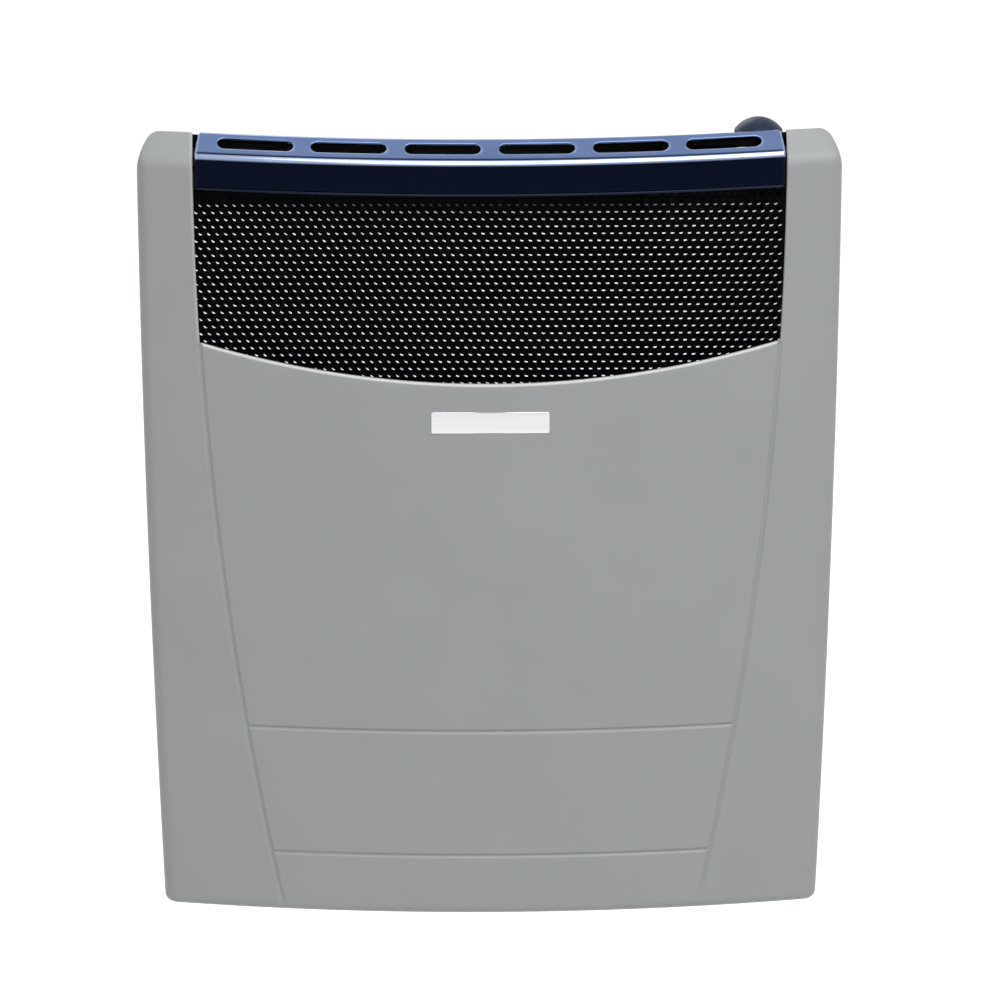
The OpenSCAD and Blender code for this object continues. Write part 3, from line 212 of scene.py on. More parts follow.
def dress(tree, shader, colour, rough, height, strength, distance=0.0002):
    # puts a colour, a roughness and a bump on the shader
    feed(tree, shader.inputs["Base Color"], colour)
    feed(tree, shader.inputs["Roughness"], rough)
    node = addNode(tree, "Bump", Height=height, Strength=strength, Distance=distance)
    feed(tree, shader.inputs["Normal"], node.outputs["Normal"])


def paint(name, colour, rough=0.42, vary=0.04, peel=0.03, highlight=None, **values):
    # sprayed paint: a faint mottle and an orange-peel bump, with a painted highlight colour where
    # the mesh's points carry it
    mat, tree, sh = nodeMaterial(name, **values)
    v = objectCoords(tree)
    tone = toned(tree, noise(tree, v, scale=14, detail=4), colour, 1 - vary, 1 + vary)
    if highlight:
        tone = mixed(tree, "MIX", wornFac(tree), tone, highlight)
    dull = spread(tree, noise(tree, v, scale=60), rough - 0.04, rough + 0.05)
    dress(tree, sh, tone, dull, noise(tree, v, scale=620, detail=2), peel)
    return mat


def metal(name, colour, rough=0.3, grain=(1, 1, 1), vary=0.12, depth=0.04, under=None):
    # rolled, drawn or plated metal with fine streaks; under, when given, is the dark coat shown
    # where the mesh's points carry no painted glint
    mat, tree, sh = nodeMaterial(name, Metallic=1.0)
    streak = noise(tree, objectCoords(tree, grain), scale=260, detail=4, rough=0.6)
    tone = toned(tree, streak, colour, 1 - vary, 1 + vary)
    if under:
        tone = mixed(tree, "MIX", wornFac(tree), under, tone)
    dress(tree, sh, tone, spread(tree, streak, rough - 0.06, rough + 0.1), streak, depth)
    return mat


def spangled(name, colour):
    # zinc coating with its crystals
    mat, tree, sh = nodeMaterial(name, Metallic=1.0)
    v = objectCoords(tree)
    cells = addNode(tree, "TexVoronoi", Vector=v, Scale=95)
    crystal = addNode(tree, "SeparateColor", Color=cells.outputs["Color"]).outputs["Red"]
    dress(tree, sh, toned(tree, crystal, colour, 0.82, 1.15, low=0.0, high=1.0),
          spread(tree, crystal, 0.32, 0.5), noise(tree, v, scale=150), 0.05, distance=0.0003)
    return mat


def plain(name, colour, rough=0.5, scale=400, vary=0.08, depth=0.06, **values):
    # moulded, pressed or cast stuff with a fine grain
    mat, tree, sh = nodeMaterial(name, **values)
    n = noise(tree, objectCoords(tree), scale, detail=4, rough=0.6)
    dress(tree, sh, toned(tree, n, colour, 1 - vary, 1 + vary),
          spread(tree, n, rough - 0.05, rough + 0.06), n, depth)
    return mat


def bandEnamelPaintedLight(name, foot, top, face, slope, rim):
    # the band's blue metallic enamel, its light painted in by height: a painted dark reflection on
    # the upright face, a painted highlight round the bend, then a painted dark line of reflection
    # and the blue of the slope; a painted highlight at its rims and ends, where the mesh's points
    # carry it
    mat, tree, sh = nodeMaterial(name, Metallic=1.0)
    v = objectCoords(tree)
    height = addNode(tree, "SeparateXYZ", Vector=v).outputs["Z"]
    level = mapped(tree, height, (foot - fixingH) * mm, (top - fixingH) * mm)
    # the bend's painted highlight, and the painted dark reflection line above it
    line, bendHighlight = [c * 0.10 for c in slope], [c * 0.9 for c in rim]
    tone = ramp(tree, level, [(0.0, face), (0.606, face), (0.640, bendHighlight), (0.700, bendHighlight),
                              (0.719, line), (0.734, line), (0.752, slope), (1.0, slope)])
    cloud = ramp(tree, noise(tree, v, scale=22, detail=5, rough=0.6),
                 [(0.3, (0.80, 0.84, 0.90)), (0.7, (1.0, 1.0, 1.0))])
    # the rims' painted highlight is mixed in by each point's share
    tone = mixed(tree, "MIX", wornFac(tree), mixed(tree, "MULTIPLY", 1.0, tone, cloud), rim)
    dull = spread(tree, noise(tree, v, scale=40), 0.13, 0.19)
    dress(tree, sh, tone, dull, noise(tree, v, scale=480, detail=2), 0.012)
    return mat


def glass(name, colour):
    mat, tree, sh = nodeMaterial(name, IOR=1.48, **{"Transmission Weight": 1.0})
    dress(tree, sh, colour, 0.03, noise(tree, objectCoords(tree), scale=60), 0.02,
          distance=0.0004)
    return mat


finish = dict(
    # the pale second colour is a painted highlight on the casing's rolled edges
    casing=paint("greyPaint", (0.386, 0.402, 0.401), rough=0.44, vary=0.02, peel=0.025,
                 highlight=(0.86, 0.85, 0.83)),
    # near black standing in for the shade on the sheets' inner sides and the flange behind the band
    insideShade=paint("insideShadePaint", (0.004, 0.004, 0.0045), rough=0.7, vary=0.12, peel=0.05,
                 specular=0.05),
    # band colours with painted light: the face's is a painted dark reflection, the rims' a painted
    # highlight
    band=bandEnamelPaintedLight("blueEnamelPaintedLight", foot=616.0, top=658.0, face=(0.0040, 0.0062, 0.0155),
                    slope=(0.165, 0.235, 0.430), rim=(0.40, 0.47, 0.66)),
    grille=paint("grilleBlack", (0.0028, 0.0026, 0.0042), rough=0.45, vary=0.15, peel=0.02,
                 specular=0.02),
    # pale metal for the painted glint on the holes' lower rims, near black elsewhere
    rim=metal("paintedGlintMetal", (0.66, 0.665, 0.69), rough=0.40, vary=0.2, depth=0.05,
              under=(0.0015, 0.0015, 0.002)),
    knob=plain("knobPlastic", (0.0155, 0.026, 0.060), rough=0.40, scale=500, vary=0.06,
               depth=0.03, specular=0.18),
    plate=metal("brushedPlate", (0.72, 0.72, 0.74), rough=0.34, grain=(0.02, 1, 1), vary=0.05,
                depth=0.03),
    zinc=spangled("zincSteel", (0.50, 0.52, 0.54)),
    # blackened steel, kept near black partly as painted shade behind the band
    darkSteel=metal("blackenedSteel", (0.010, 0.010, 0.011), rough=0.5, grain=(1, 1, 0.1),
                    vary=0.2, depth=0.05),
    bright=metal("brightSteel", (0.62, 0.62, 0.64), rough=0.24, grain=(1, 1, 0.1)),
    hotSteel=metal("aluminisedSteel", (0.52, 0.52, 0.51), rough=0.42, vary=0.08),
    blackEnamel=paint("heatBlack", (0.008, 0.008, 0.009), rough=0.5, vary=0.15, peel=0.06,
                      specular=0.2),
    # near black standing in for the shade inside the heater
    shadeBlack=paint("shadeBlack", (0.009, 0.009, 0.010), rough=0.55, vary=0.15, peel=0.05,
                     specular=0.2),
    brass=metal("brass", (0.72, 0.50, 0.22), rough=0.26, grain=(1, 1, 0.2), vary=0.08),
    copper=metal("copper", (0.70, 0.34, 0.20), grain=(0.3, 1, 1), vary=0.1),
    castMetal=plain("castAluminium", (0.42, 0.43, 0.44), rough=0.46, scale=520, vary=0.1,
                    depth=0.12, Metallic=0.9),
    fibre=plain("pressedFibre", (0.66, 0.63, 0.54), rough=0.9, scale=260, vary=0.14, depth=0.4),
    rubber=plain("blackRubber", (0.010, 0.010, 0.011), rough=0.66, scale=420, vary=0.1,
                 depth=0.08, specular=0.2),
    leadSleeve=plain("leadSleeve", (0.010, 0.009, 0.009), rough=0.6, scale=420, vary=0.1,
                     depth=0.05, specular=0.1),
    ceramic=plain("glazedCeramic", (0.78, 0.76, 0.70), rough=0.16, scale=90, vary=0.03,
                  depth=0.01, **{"Coat Weight": 0.4}),
    black=plain("blackPlastic", (0.008, 0.008, 0.009), rough=0.45, scale=520, vary=0.1,
                depth=0.03, specular=0.15),
    glass=glass("sightGlass", (0.86, 0.93, 0.90)),
)
print("materials:", len(finish))

# two numbers near the end scale the painted highlight on the right and left wing's rolled lip
casing = dict(topW=578.0, bottomW=540.0, height=658.0, depth=205.0, bow=1110.0, sheet=1.2,
              edge=12.0, hem=7.0, hemEdge=4.0, flange=10.0, backGap=1.0, backH=590.0, backClear=0.5,
              slopeH=19.5, slopeRun=23.0, bend=14.0, hipStep=4.0, hipFall=18.0, seatDrop=1.7,
              bulge=1.64, taperH=645.0, crown=8.0, crownH=22.0, crownPower=2.2, crownEdge=12.0,
              topDrop=1.0, topFrom=243.0, wingLine=3000.0, windowHalf=243.0, windowLow=456.5,
              windowArc=980.0, roll=2.4, lip=3.8, upperLine=158.6, lowerLine=51.0, lineHalf=2.2,
              lineDepth=1.3, wingLineHalf=2.6, wingLineDepth=1.5, linePower=0.8, lineFoot=5.0,
              lineGrow=8.0, lineEnd=3.0, glintRight=0.12, glintLeft=0.3, knobHole=22.0,
              buttonHole=8.5)
bowY = casing["bow"] - casing["depth"]
creaseH = casing["height"] - casing["slopeH"]
turn = math.atan2(casing["slopeRun"], casing["slopeH"])
bendLow = creaseH - casing["bend"] * math.tan(turn / 2)
bendHigh = bendLow + casing["bend"] * math.sin(turn)
ridgeR = casing["bow"] - casing["slopeRun"]
ridgeBack = ridgeR - casing["sheet"]    # the flange behind the ridge
ridgeY = -casing["depth"] + casing["slopeRun"] + casing["sheet"]


def sideW(h):
    # half width, a quadratic in the height
    t = h / casing["taperH"]
    return casing["bottomW"] / 2 + (casing["topW"] - casing["bottomW"]) / 2 * (
        casing["bulge"] * t - (casing["bulge"] - 1) * t * t)


def wingX(h):
    # the curved line that bounds a wing: a flat arc seen from the front
    return casing["windowHalf"] - (casing["height"] - h) ** 2 / (2 * casing["wingLine"])


def frontY(x, f):
    # how far forward the bow lies at x, f inside its face
    return bowY - np.sqrt((casing["bow"] - f) ** 2 - x * x)


def hipH(y):
    # height of the falling top
    fall = math.tan(math.radians(casing["hipFall"]))
    return casing["height"] - casing["hipStep"] - (y - ridgeY) * fall


def arcH(x):
    # height of the window's lower edge
    return casing["windowLow"] + casing["windowArc"] - np.sqrt(casing["windowArc"] ** 2 - x * x)


def setBack(h):
    # how far the front lies behind its main bow at height h: hem arc, upright, bend arc, slope
    hem, b = casing["hem"], casing["bend"]
    low = hem - np.sqrt(np.maximum(hem ** 2 - np.clip(hem - h, 0, hem) ** 2, 0))
    k = np.clip(h - bendLow, 0, b * math.sin(turn))
    mid = b - np.sqrt(b * b - k * k)
    top = np.maximum(h - creaseH, 0) * casing["slopeRun"] / casing["slopeH"]
    return np.where(h < hem, low, np.where(h < bendHigh, mid, top))


def levelAt(h, top):
    # half width, set-back and corner radius at height h; the width is drawn in towards the top
    f = setBack(h)
    q = np.where(h < casing["hem"], f, 0)
    near = np.clip((h - top) / casing["crownH"] + 1, 0, 1)
    above = np.clip(h - creaseH, 0, casing["slopeH"]) / casing["slopeH"]
    return (sideW(h) - q - casing["crown"] * near ** casing["crownPower"], f,
            casing["edge"] - q + casing["crownEdge"] * above)


def groove(d, half, depth):
    # pressed line: a rounded V across the distance d
    wave = 0.5 + 0.5 * np.cos(np.pi * np.clip(d / half, -1, 1))
    return depth * wave ** casing["linePower"]


# height of the window's lower corners, where its arc meets the wing lines
cornerH = 486.0
for _ in range(6):
    cornerH = float(arcH(wingX(cornerH)))
lineFar = np.array([7, 5, 3.8, 3.0, 2.4, 1.9, 1.5, 1.1, 0.75, 0.35, 0.0])    # off the wing line
rollPhi = np.radians([0, 22.5, 45, 67.5, 90])


def wingGroove(far, h):
    # depth of the wing line's groove at a distance from it; it fades out at both of its ends
    grown = np.clip((h - casing["lineFoot"]) / casing["lineGrow"], 0, 1)
    left = np.clip((cornerH - h) / casing["lineEnd"], 0, 1)
    return groove(far, casing["wingLineHalf"], casing["wingLineDepth"]) * (grown * left)


def rowHeights(first=12, closer=566, step=11.0, closeStep=3.0, least=0.12):
    # heights of the casing's points: close at the hem, the lines, the corner and the bend
    hem = casing["hem"] * (1 - np.cos(np.radians(np.linspace(0, 90, 9))))
    half = np.array([0.4, 0.8, 1.2, 1.6, 2.1, 2.6, 3.2])
    fine = np.concatenate([-half[::-1], [0], half])
    parts = [hem, np.arange(first, closer, step), np.arange(closer, bendLow - 2, closeStep),
             casing["lowerLine"] + fine, casing["upperLine"] + fine,
             cornerH + np.array([-6, -4, -2.5, -1.2, 0, 1, 2, 3, 4.5, 7]),
             bendLow + casing["bend"] * np.sin(np.linspace(0, turn, 8)),
             np.linspace(bendHigh, casing["height"], 7)]
    rows = np.unique(np.round(np.concatenate(parts), 4))
    return rows[np.concatenate([[True], np.diff(rows) > least])]


def planPoint(w, f, r, kind, s, h):
    # points of the right half's outline: up the side (kind 0), round the edge (1), along the
    # bow to the wing line (2), s running from 0 to 1 along each
    w, f, r, kind, s, h = np.broadcast_arrays(w, f, r, kind, s, h)
    rf = casing["bow"] - f
    a = np.arcsin((w - r) / (rf - r))
    cy = bowY - (rf - r) * np.cos(a)
    q = np.pi / 2 + (a - np.pi / 2) * s
    side = np.stack([w, -casing["backGap"] + (cy + casing["backGap"]) * s], -1)
    edge = np.stack([w - r + r * np.sin(q), cy - r * np.cos(q)], -1)
    x = rf * np.sin(a) + (wingX(h) + lineFar[0] - rf * np.sin(a)) * s
    front = np.stack([x, frontY(x, f)], -1)
    k = kind[..., None]
    return np.where(k == 0, side, np.where(k == 1, edge, front))


# how many columns the side, the edge and the front beside it have
columns = (14, 9, 14)
wingKind = np.repeat([0, 1, 2], columns)
wingS = np.concatenate([np.linspace(0, 1, n, endpoint=False) for n in columns])


def wingAt(h, top):
    return planPoint(*levelAt(h, top), wingKind, wingS, h)


def wingTops(start=560, steps=1400, near=1.5, least=0.3):
    # where each column ends: at the ridge, or where it meets the falling top
    fine = np.linspace(start, casing["height"], steps)[:, None]
    p = wingAt(fine, casing["height"])
    gone = (np.hypot(p[..., 0], p[..., 1] - bowY) < ridgeBack) & (fine > hipH(p[..., 1]))
    top = np.where(gone.any(0), fine[np.argmax(gone, 0), 0], casing["height"])
    for _ in range(5):
        met = hipH(wingAt(top[None], top[None])[0, :, 1])
        top = np.where(np.abs(top - met) < near, met, top)
    # the ridge sinks a little towards the corner
    x, y = p[-1].T
    out = np.clip((x - casing["topFrom"]) / (x.max() - casing["topFrom"]), 0, 1)
    sunk = casing["height"] - casing["topDrop"] * out ** 2
    return np.where(sunk > hipH(y) + least, np.minimum(top, sunk), top)


def wingLineColumns(rows):
    # beside the wing line: a pressed line below the window's corner, a rolled lip above it
    h = rows[:, None] + 0 * lineFar
    f = setBack(h)
    up = np.clip((h - cornerH) / casing["lineEnd"], 0, 1)
    up = up * up * (3 - 2 * up)
    flat = lineFar[:len(lineFar) - len(rollPhi) - 1]
    lipFar = np.concatenate([flat, casing["roll"] * (1 - np.sin(rollPhi)), [0.0]])
    lipIn = np.clip(casing["slopeRun"] + casing["sheet"] - f[:, :1], casing["sheet"], casing["lip"])
    deep = np.concatenate([0 * flat, casing["roll"] * (1 - np.cos(rollPhi)), [np.inf]])
    deep = np.minimum(deep, lipIn)
    x = wingX(h) + lineFar * (1 - up) + lipFar * up
    y = frontY(x, f + wingGroove(lineFar, h) * (1 - up) + deep * up)
    return np.stack([x, y, h], -1), up[:, :1]


def wingPatch():
    # the side, the front edge and the wing, from the turned-in hem up to the ridge and its
    # flange, with each point's share of painted highlight
    rows, top = rowHeights(), wingTops()
    h = np.minimum(rows[:, None], top[None, :])
    line, up = wingLineColumns(rows)
    front = np.concatenate([np.concatenate([wingAt(h, top), h[..., None]], -1), line], 1)
    # back flange, one column inside the side wall
    front = np.concatenate([front[:, :1] - [casing["flange"], 0, 0], front], 1)
    # turned-in hem below, at height 0
    q = casing["hem"] + casing["flange"]
    x = wingX(0.0) + lineFar
    hemRow = np.concatenate([planPoint(sideW(0.0) - q, q, casing["hemEdge"], wingKind, wingS, 0.0),
                             np.stack([x, frontY(x, q)], -1)])
    hemRow = np.concatenate([hemRow[:1] - [casing["flange"], 0], hemRow])
    hemRow = np.pad(hemRow, ((0, 0), (0, 1)))[None]
    # behind the ridge: across the fold, then down to the falling top
    x, y, h = front[-1:].transpose(2, 0, 1)
    rad = np.hypot(x, y - bowY)
    k = np.minimum(rad, ridgeBack) / rad
    x, y = x * k, bowY + (y - bowY) * k
    behind = [np.stack([x, y, z], -1) for z in (h, hipH(y))]
    # painted highlight round the rolled lip
    worn = np.zeros(front.shape[:2])
    worn[:, -6:-1] = np.array([0.1, 0.7, 1.0, 0.8, 0.3]) * up
    return np.concatenate([hemRow, front, *behind], 0), np.pad(worn, ((1, 2), (0, 0)))


def centrePatch(evenly=81, midFar=99.0, rolled=3):
    # the front between the wing lines, up to the window's rolled lower edge, and its painted
    # highlight
    even = np.linspace(-1, 1, evenly)[1:-1]
    rows = rowHeights()
    rows = rows[rows < cornerH + tiny]

    def xs(h):
        # columns at the heights h: close together beside the wing lines, even between them
        x = wingX(h)
        return np.concatenate([lineFar[::-1] - x, (x - lineFar[0]) * even, x - lineFar], -1)

    far = np.concatenate([lineFar[::-1], np.full(even.shape, midFar), lineFar])
    start = np.full(far.shape, cornerH)
    roll = casing["roll"] * np.clip(far / rolled, 0, 1)
    own = np.arange(len(far))
    for _ in range(5):
        start = arcH(xs(start[:, None])[own, own]) - roll
    h = np.minimum(rows[:, None], start[None, :])
    x = np.stack([xs(h[:, k:k + 1])[:, k] for k in own], -1)
    across = [groove(h - casing[line], casing["lineHalf"], casing["lineDepth"])
              for line in ("upperLine", "lowerLine")]
    f = setBack(h) + np.maximum(wingGroove(far, h), np.maximum(*across))
    body = np.stack([x, frontY(x, f), h], -1)
    # rolled edge of the window and its lip
    phi = rollPhi[1:, None]
    hRoll = start + roll * np.sin(phi)
    hRoll = np.concatenate([hRoll, hRoll[-1:]])
    fRoll = np.concatenate([roll * (1 - np.cos(phi)), np.full((1, len(far)), casing["lip"])])
    xRoll = x[-1] + 0 * hRoll
    edge = np.stack([xRoll, frontY(xRoll, fRoll), hRoll], -1)
    x = xs(np.array([0.0]))
    hemRow = np.stack([x, frontY(x, casing["hem"] + casing["flange"]), 0 * x], -1)[None]
    # painted highlight round the window's rolled edge, weaker beside the wing lines
    worn = np.concatenate([np.zeros(len(body) + 1), [0.5, 0.9, 0.8, 0.3, 0.0]])
    worn = worn[:, None] * np.clip(far / rolled, 0.3, 1)
    return np.concatenate([hemRow, body, edge], 0), worn


# the axis of the knob and of the button: its x, and how far it lies behind the ridge
controls = dict(knob=(221.0, 30.0), button=(150.0, 24.0))


def axisOf(name):
    x, back = controls[name]
    return x, float(frontY(x, casing["slopeRun"])) + back


def fallingTop(loop, holes, step=7.5, inside=0.97):
    # the sheet within the loop on the falling top's plane, open at each hole (x, y, radius)
    t = np.radians(np.arange(0, 360, step))
    rings = [np.stack([cx + r * np.cos(t), cy + r * np.sin(t)], -1) for cx, cy, r in holes]
    edges, first = [], 0
    for ring in (loop, *rings):
        n = len(ring)
        edges += [(first + i, first + (i + 1) % n) for i in range(n)]
        first += n
    points = [Vector(p) for p in np.concatenate([loop, *rings])]
    found = delaunay_2d_cdt(points, edges, [], 2, 1e-4)
    co = np.array([v[:] for v in found[0]])
    tris = []
    for tri in found[2]:
        a, b, c = (co[i] for i in tri[:3])
        turnsLeft = (b[0] - a[0]) * (c[1] - a[1]) - (b[1] - a[1]) * (c[0] - a[0]) > 0
        mid = np.mean([co[i] for i in tri], 0)
        if all(np.hypot(*(mid - [cx, cy])) > r * inside for cx, cy, r in holes):
            tris.append(list(tri) if turnsLeft else list(tri)[::-1])
    return np.concatenate([co, hipH(co[:, 1])[:, None]], 1), tris


def buildCasing():
    skin = Patches()
    wing, wingGlint = wingPatch()
    centre, centreGlint = centrePatch()
    # painted highlight on the wings' rolled lips, stronger on the left wing than the right
    skin.grid(wing, flip=True, worn=wingGlint * casing["glintRight"])
    skin.grid(wing * [-1, 1, 1], worn=wingGlint * casing["glintLeft"])
    skin.grid(centre, worn=centreGlint)
    # the flange behind the band, between the wings, near black as painted shade
    end = wingX(casing["height"])
    x = np.linspace(-end, end, 61)
    y = frontY(x, casing["bow"] - ridgeBack)
    seat = np.stack([x, y, np.full(len(x), casing["height"] - casing["seatDrop"])], -1)
    foot = np.stack([x, y, hipH(y)], -1)
    skin.grid(np.stack([seat, foot]), look=1)
    # the falling top, with its two holes, and the flange at the wall
    right = wing[-1, 1:, :2]
    loop = np.concatenate([right, foot[::-1][1:-1, :2], (right * [-1, 1])[::-1]])
    loop = loop[np.concatenate([[True], np.hypot(*np.diff(loop, axis=0).T) > pointGap])]
    skin.loose(*fallingTop(loop, [(*axisOf("knob"), casing["knobHole"]),
                                  (*axisOf("button"), casing["buttonHole"])]))
    backW = sideW(casing["backH"]) - casing["crown"] - casing["backClear"]
    x = np.linspace(-backW, backW, 9)
    y = np.full(len(x), -casing["backGap"])
    topEdge = np.stack([x, y, hipH(y)], -1)
    skin.grid(np.stack([topEdge, topEdge - [0, 0, casing["flange"] + casing["sheet"]]]), flip=True)
    fall = math.radians(casing["hipFall"])
    # the sheet's inner side and the flange behind the band are near black, standing in for shade
    looks = [finish["casing"], finish["insideShade"], finish["insideShade"]]
    shell = skin.piece("casingShell", looks, "heater", sheet=casing["sheet"],
                       plane=Vector((0, math.sin(fall), math.cos(fall))))
    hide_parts("casing")
    return shell


buildCasing()
print("casing")

# ends are the band's two end faces, right nearly against its wing as the photograph shows;
# over is the folded top edge (behind the ridge, over it), rim a slot's edge (outwards, below);
# the four slot numbers give a rim's painted highlight all round, more below, more on the right,
# and at most; the lip and end numbers give the painted highlight on the lip and the ends
band = dict(low=616.0, crease=645.0, ends=(-241.2, 241.8), sheet=1.0, bend=8.5, lean=3.0,
            leanFrom=231.0, leanOver=9.0, leanPower=1.3, lipOut=0.7, lipH=2.4, lipRound=1.2,
            lipGlint=0.022, flange=(4.5, 2.5), faceFrom=(0.9, 2.2), inward=3.4, endR=2.0,
            cellTop=0.5, cellCols=30, pitch=77.0, slots=6, slotL=61.8, slotW=12.0, slotDown=10.4,
            slotGlint=(0.35, 0.8, 0.5, 0.7), glintFrom=641.0, glintOver=4.0,
            over=((0.35, 0.0), (2.2, 0.0), (2.5, -0.3), (2.5, -3.7)),
            rim=((0.0, 2.4), (0.0, 0.9), (0.12, 0.4), (0.42, 0.1), (0.8, 0.0)))

bandRise = casing["height"] - band["crease"]
bandLen = math.hypot(bandRise, casing["slopeRun"])
bandTurn = math.atan2(casing["slopeRun"], bandRise)


def bandPoint(x, f, h):
    # points at x, f inside the main bow, at height h; both ends lean inwards above the crease
    x, f, h = np.broadcast_arrays(x, f, h)
    up = np.clip((h - band["crease"]) / bandRise, 0, 1) ** band["leanPower"]
    out = np.clip((np.abs(x) - band["leanFrom"]) / band["leanOver"], 0, 1)
    x = x - np.sign(x) * band["lean"] * up * out
    return np.stack([x, frontY(x, f), h], -1)


def slopeFH(t, inn=0.0):
    # set-back and height of a point t up the slope from the crease, inn below its face
    c, s = casing["slopeRun"] / bandLen, bandRise / bandLen
    return t * c + inn * s, band["crease"] + t * s - inn * c


def lowerProfile(start):
    # set-back and height of the bottom flange, the small round lip, the upright face, the bend
    low, lh = band["low"], band["lipH"]
    a = np.radians(np.linspace(-90, 90, 9))
    lipF = -band["lipOut"] + band["lipRound"] * (1 - np.cos(a))
    lipZ = low + lh / 2 + lh / 2 * np.sin(a)
    b = np.linspace(0, bandTurn, 14)
    bendZ = band["crease"] - start + band["bend"] * np.sin(b)
    bendF = band["bend"] * (1 - np.cos(b))
    foot, first = (low + lh + above for above in band["faceFrom"])
    face = np.linspace(first, bendZ[0], 7)[:-1]
    f = np.concatenate([band["flange"], lipF, [0.0], 0 * face, bendF])
    z = np.concatenate([[low, low], lipZ, [foot], face, bendZ])
    return f, z


def slotCell(left, right, rise):
    # rings of (x, f, h) from a slot's rolled rim out to its cell's border, and their painted
    # highlight
    half, mid = band["slotW"] / 2, bandLen - band["slotDown"]
    u = np.linspace(left, right, band["cellCols"] + 1)
    sides = ((u, rise[0] + 0 * u), (u[-1] + 0 * rise, rise),
             (u[::-1], rise[-1] + 0 * u), (u[0] + 0 * rise, rise[::-1]))
    border = np.concatenate([np.stack(side, -1)[:-1] for side in sides]
                            + [np.stack(sides[-1], -1)[-1:]])
    reach = (band["slotL"] - band["slotW"]) / 2
    spine = np.stack([np.clip(border[:, 0], -reach, reach), np.full(len(border), mid)], -1)
    away = border - spine
    away /= np.hypot(*away.T)[:, None]
    rings = [(spine + away * (half + out), inn) for out, inn in band["rim"]]
    wide = rings[-1][0]
    rings += [(wide + (border - wide) * part, 0.0) for part in (0.3, 0.65, 1.0)]
    x = np.array([q[:, 0] for q, _ in rings])
    f, h = np.array([slopeFH(q[:, 1], inn) for q, inn in rings]).transpose(1, 0, 2)
    # painted highlight, strongest on the rim's lower and right side
    allRound, below, rightwards, most = band["slotGlint"]
    turnTo = np.clip(allRound - away[:, 1] * below + away[:, 0] * rightwards, 0.0, 1.0)
    worn = np.array([0, 0, 0.5, 1.0, 0.7, 0, 0, 0])[:, None] * turnTo * most
    return x, f, h, worn


def buildBand():
    skin = Patches()
    start = band["bend"] * math.tan(bandTurn / 2)
    rise = np.linspace(start, bandLen - band["cellTop"], 9)
    # the slots' middles lie evenly along the ridge's arc
    place = np.arange(band["slots"]) - (band["slots"] - 1) / 2
    xCell = ridgeR * np.sin(place * band["pitch"] / ridgeR)
    cuts = np.concatenate([[xCell[0] - band["pitch"] / 2], (xCell[1:] + xCell[:-1]) / 2,
                           [xCell[-1] + band["pitch"] / 2]])
    inner = [np.linspace(a, b, band["cellCols"] + 1)[:-1] for a, b in zip(cuts[:-1], cuts[1:])]
    leftEnd, rightEnd = band["ends"][0] + band["endR"], band["ends"][1] - band["endR"]
    leftX, rightX = np.linspace(leftEnd, cuts[0], 6), np.linspace(cuts[-1], rightEnd, 6)
    x = np.concatenate([leftX[:-1], *inner, rightX])
    low, lh = band["low"], band["lipH"]
    f, z = lowerProfile(start)
    # a faint painted highlight along the lower lip
    lipGlint = np.where((z > low + 0.3) & (z < low + lh), band["lipGlint"], 0.0)
    skin.grid(bandPoint(x, f[:, None], z[:, None]), worn=lipGlint[:, None])
    # the top edge of the slope, over the ridge and down behind the flange
    topF, topZ = slopeFH(np.array([bandLen - band["cellTop"], bandLen - 0.3]))
    overF, overZ = np.array(band["over"]).T
    skin.grid(bandPoint(x, np.append(topF, casing["slopeRun"] + overF)[:, None],
                        np.append(topZ, casing["height"] + overZ)[:, None]))
    # the slope at both ends, and its rolled, turned-in ends
    riseF, riseZ = slopeFH(rise)
    endF = np.concatenate([f[3:], riseF[1:], topF[1:]])[:, None]
    endZ = np.concatenate([z[3:], riseZ[1:], topZ[1:]])[:, None]
    outF, outZ = np.gradient(endZ, axis=0), -np.gradient(endF, axis=0)
    size = np.hypot(outF, outZ)
    phi = np.radians([0, 18, 36, 54, 72, 90])
    down = np.append(band["endR"] * (1 - np.cos(phi)), band["inward"])
    rolledF = endF + down * np.abs(outF / size)
    rolledZ = np.minimum(endZ + down * np.minimum(outZ / size, 0), casing["height"] - 0.2)
    # painted highlight round the rolled ends, only above the crease
    highlight = np.array([0.1, 0.5, 0.9, 0.7, 0.3, 0.0, 0.0]) * np.clip(
        (endZ - band["glintFrom"]) / band["glintOver"], 0.01, 1)
    for side, xEnd, end in ((-1, leftX, leftEnd), (1, rightX, rightEnd)):
        skin.grid(bandPoint(xEnd, riseF[:, None], riseZ[:, None]))
        xo = end + side * band["endR"] * np.sin(phi)
        skin.grid(bandPoint(np.append(xo, xo[-1]), rolledF, rolledZ), flip=side < 0, worn=highlight)
    for xc, left, right in zip(xCell, cuts[:-1], cuts[1:]):
        u, f, h, worn = slotCell(left - xc, right - xc, rise)
        skin.grid(bandPoint(xc + u, f, h), flip=True, worn=worn)
    shell = skin.piece("bandShell", [finish["band"], finish["insideShade"]], "heater",
                       sheet=band["sheet"], crease=50)
    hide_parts("top_band")
    return shell


buildBand()
print("band")

seal = dict(front=1.6, back=3.6, gap=0.15, chamfer=0.3, rows=9)


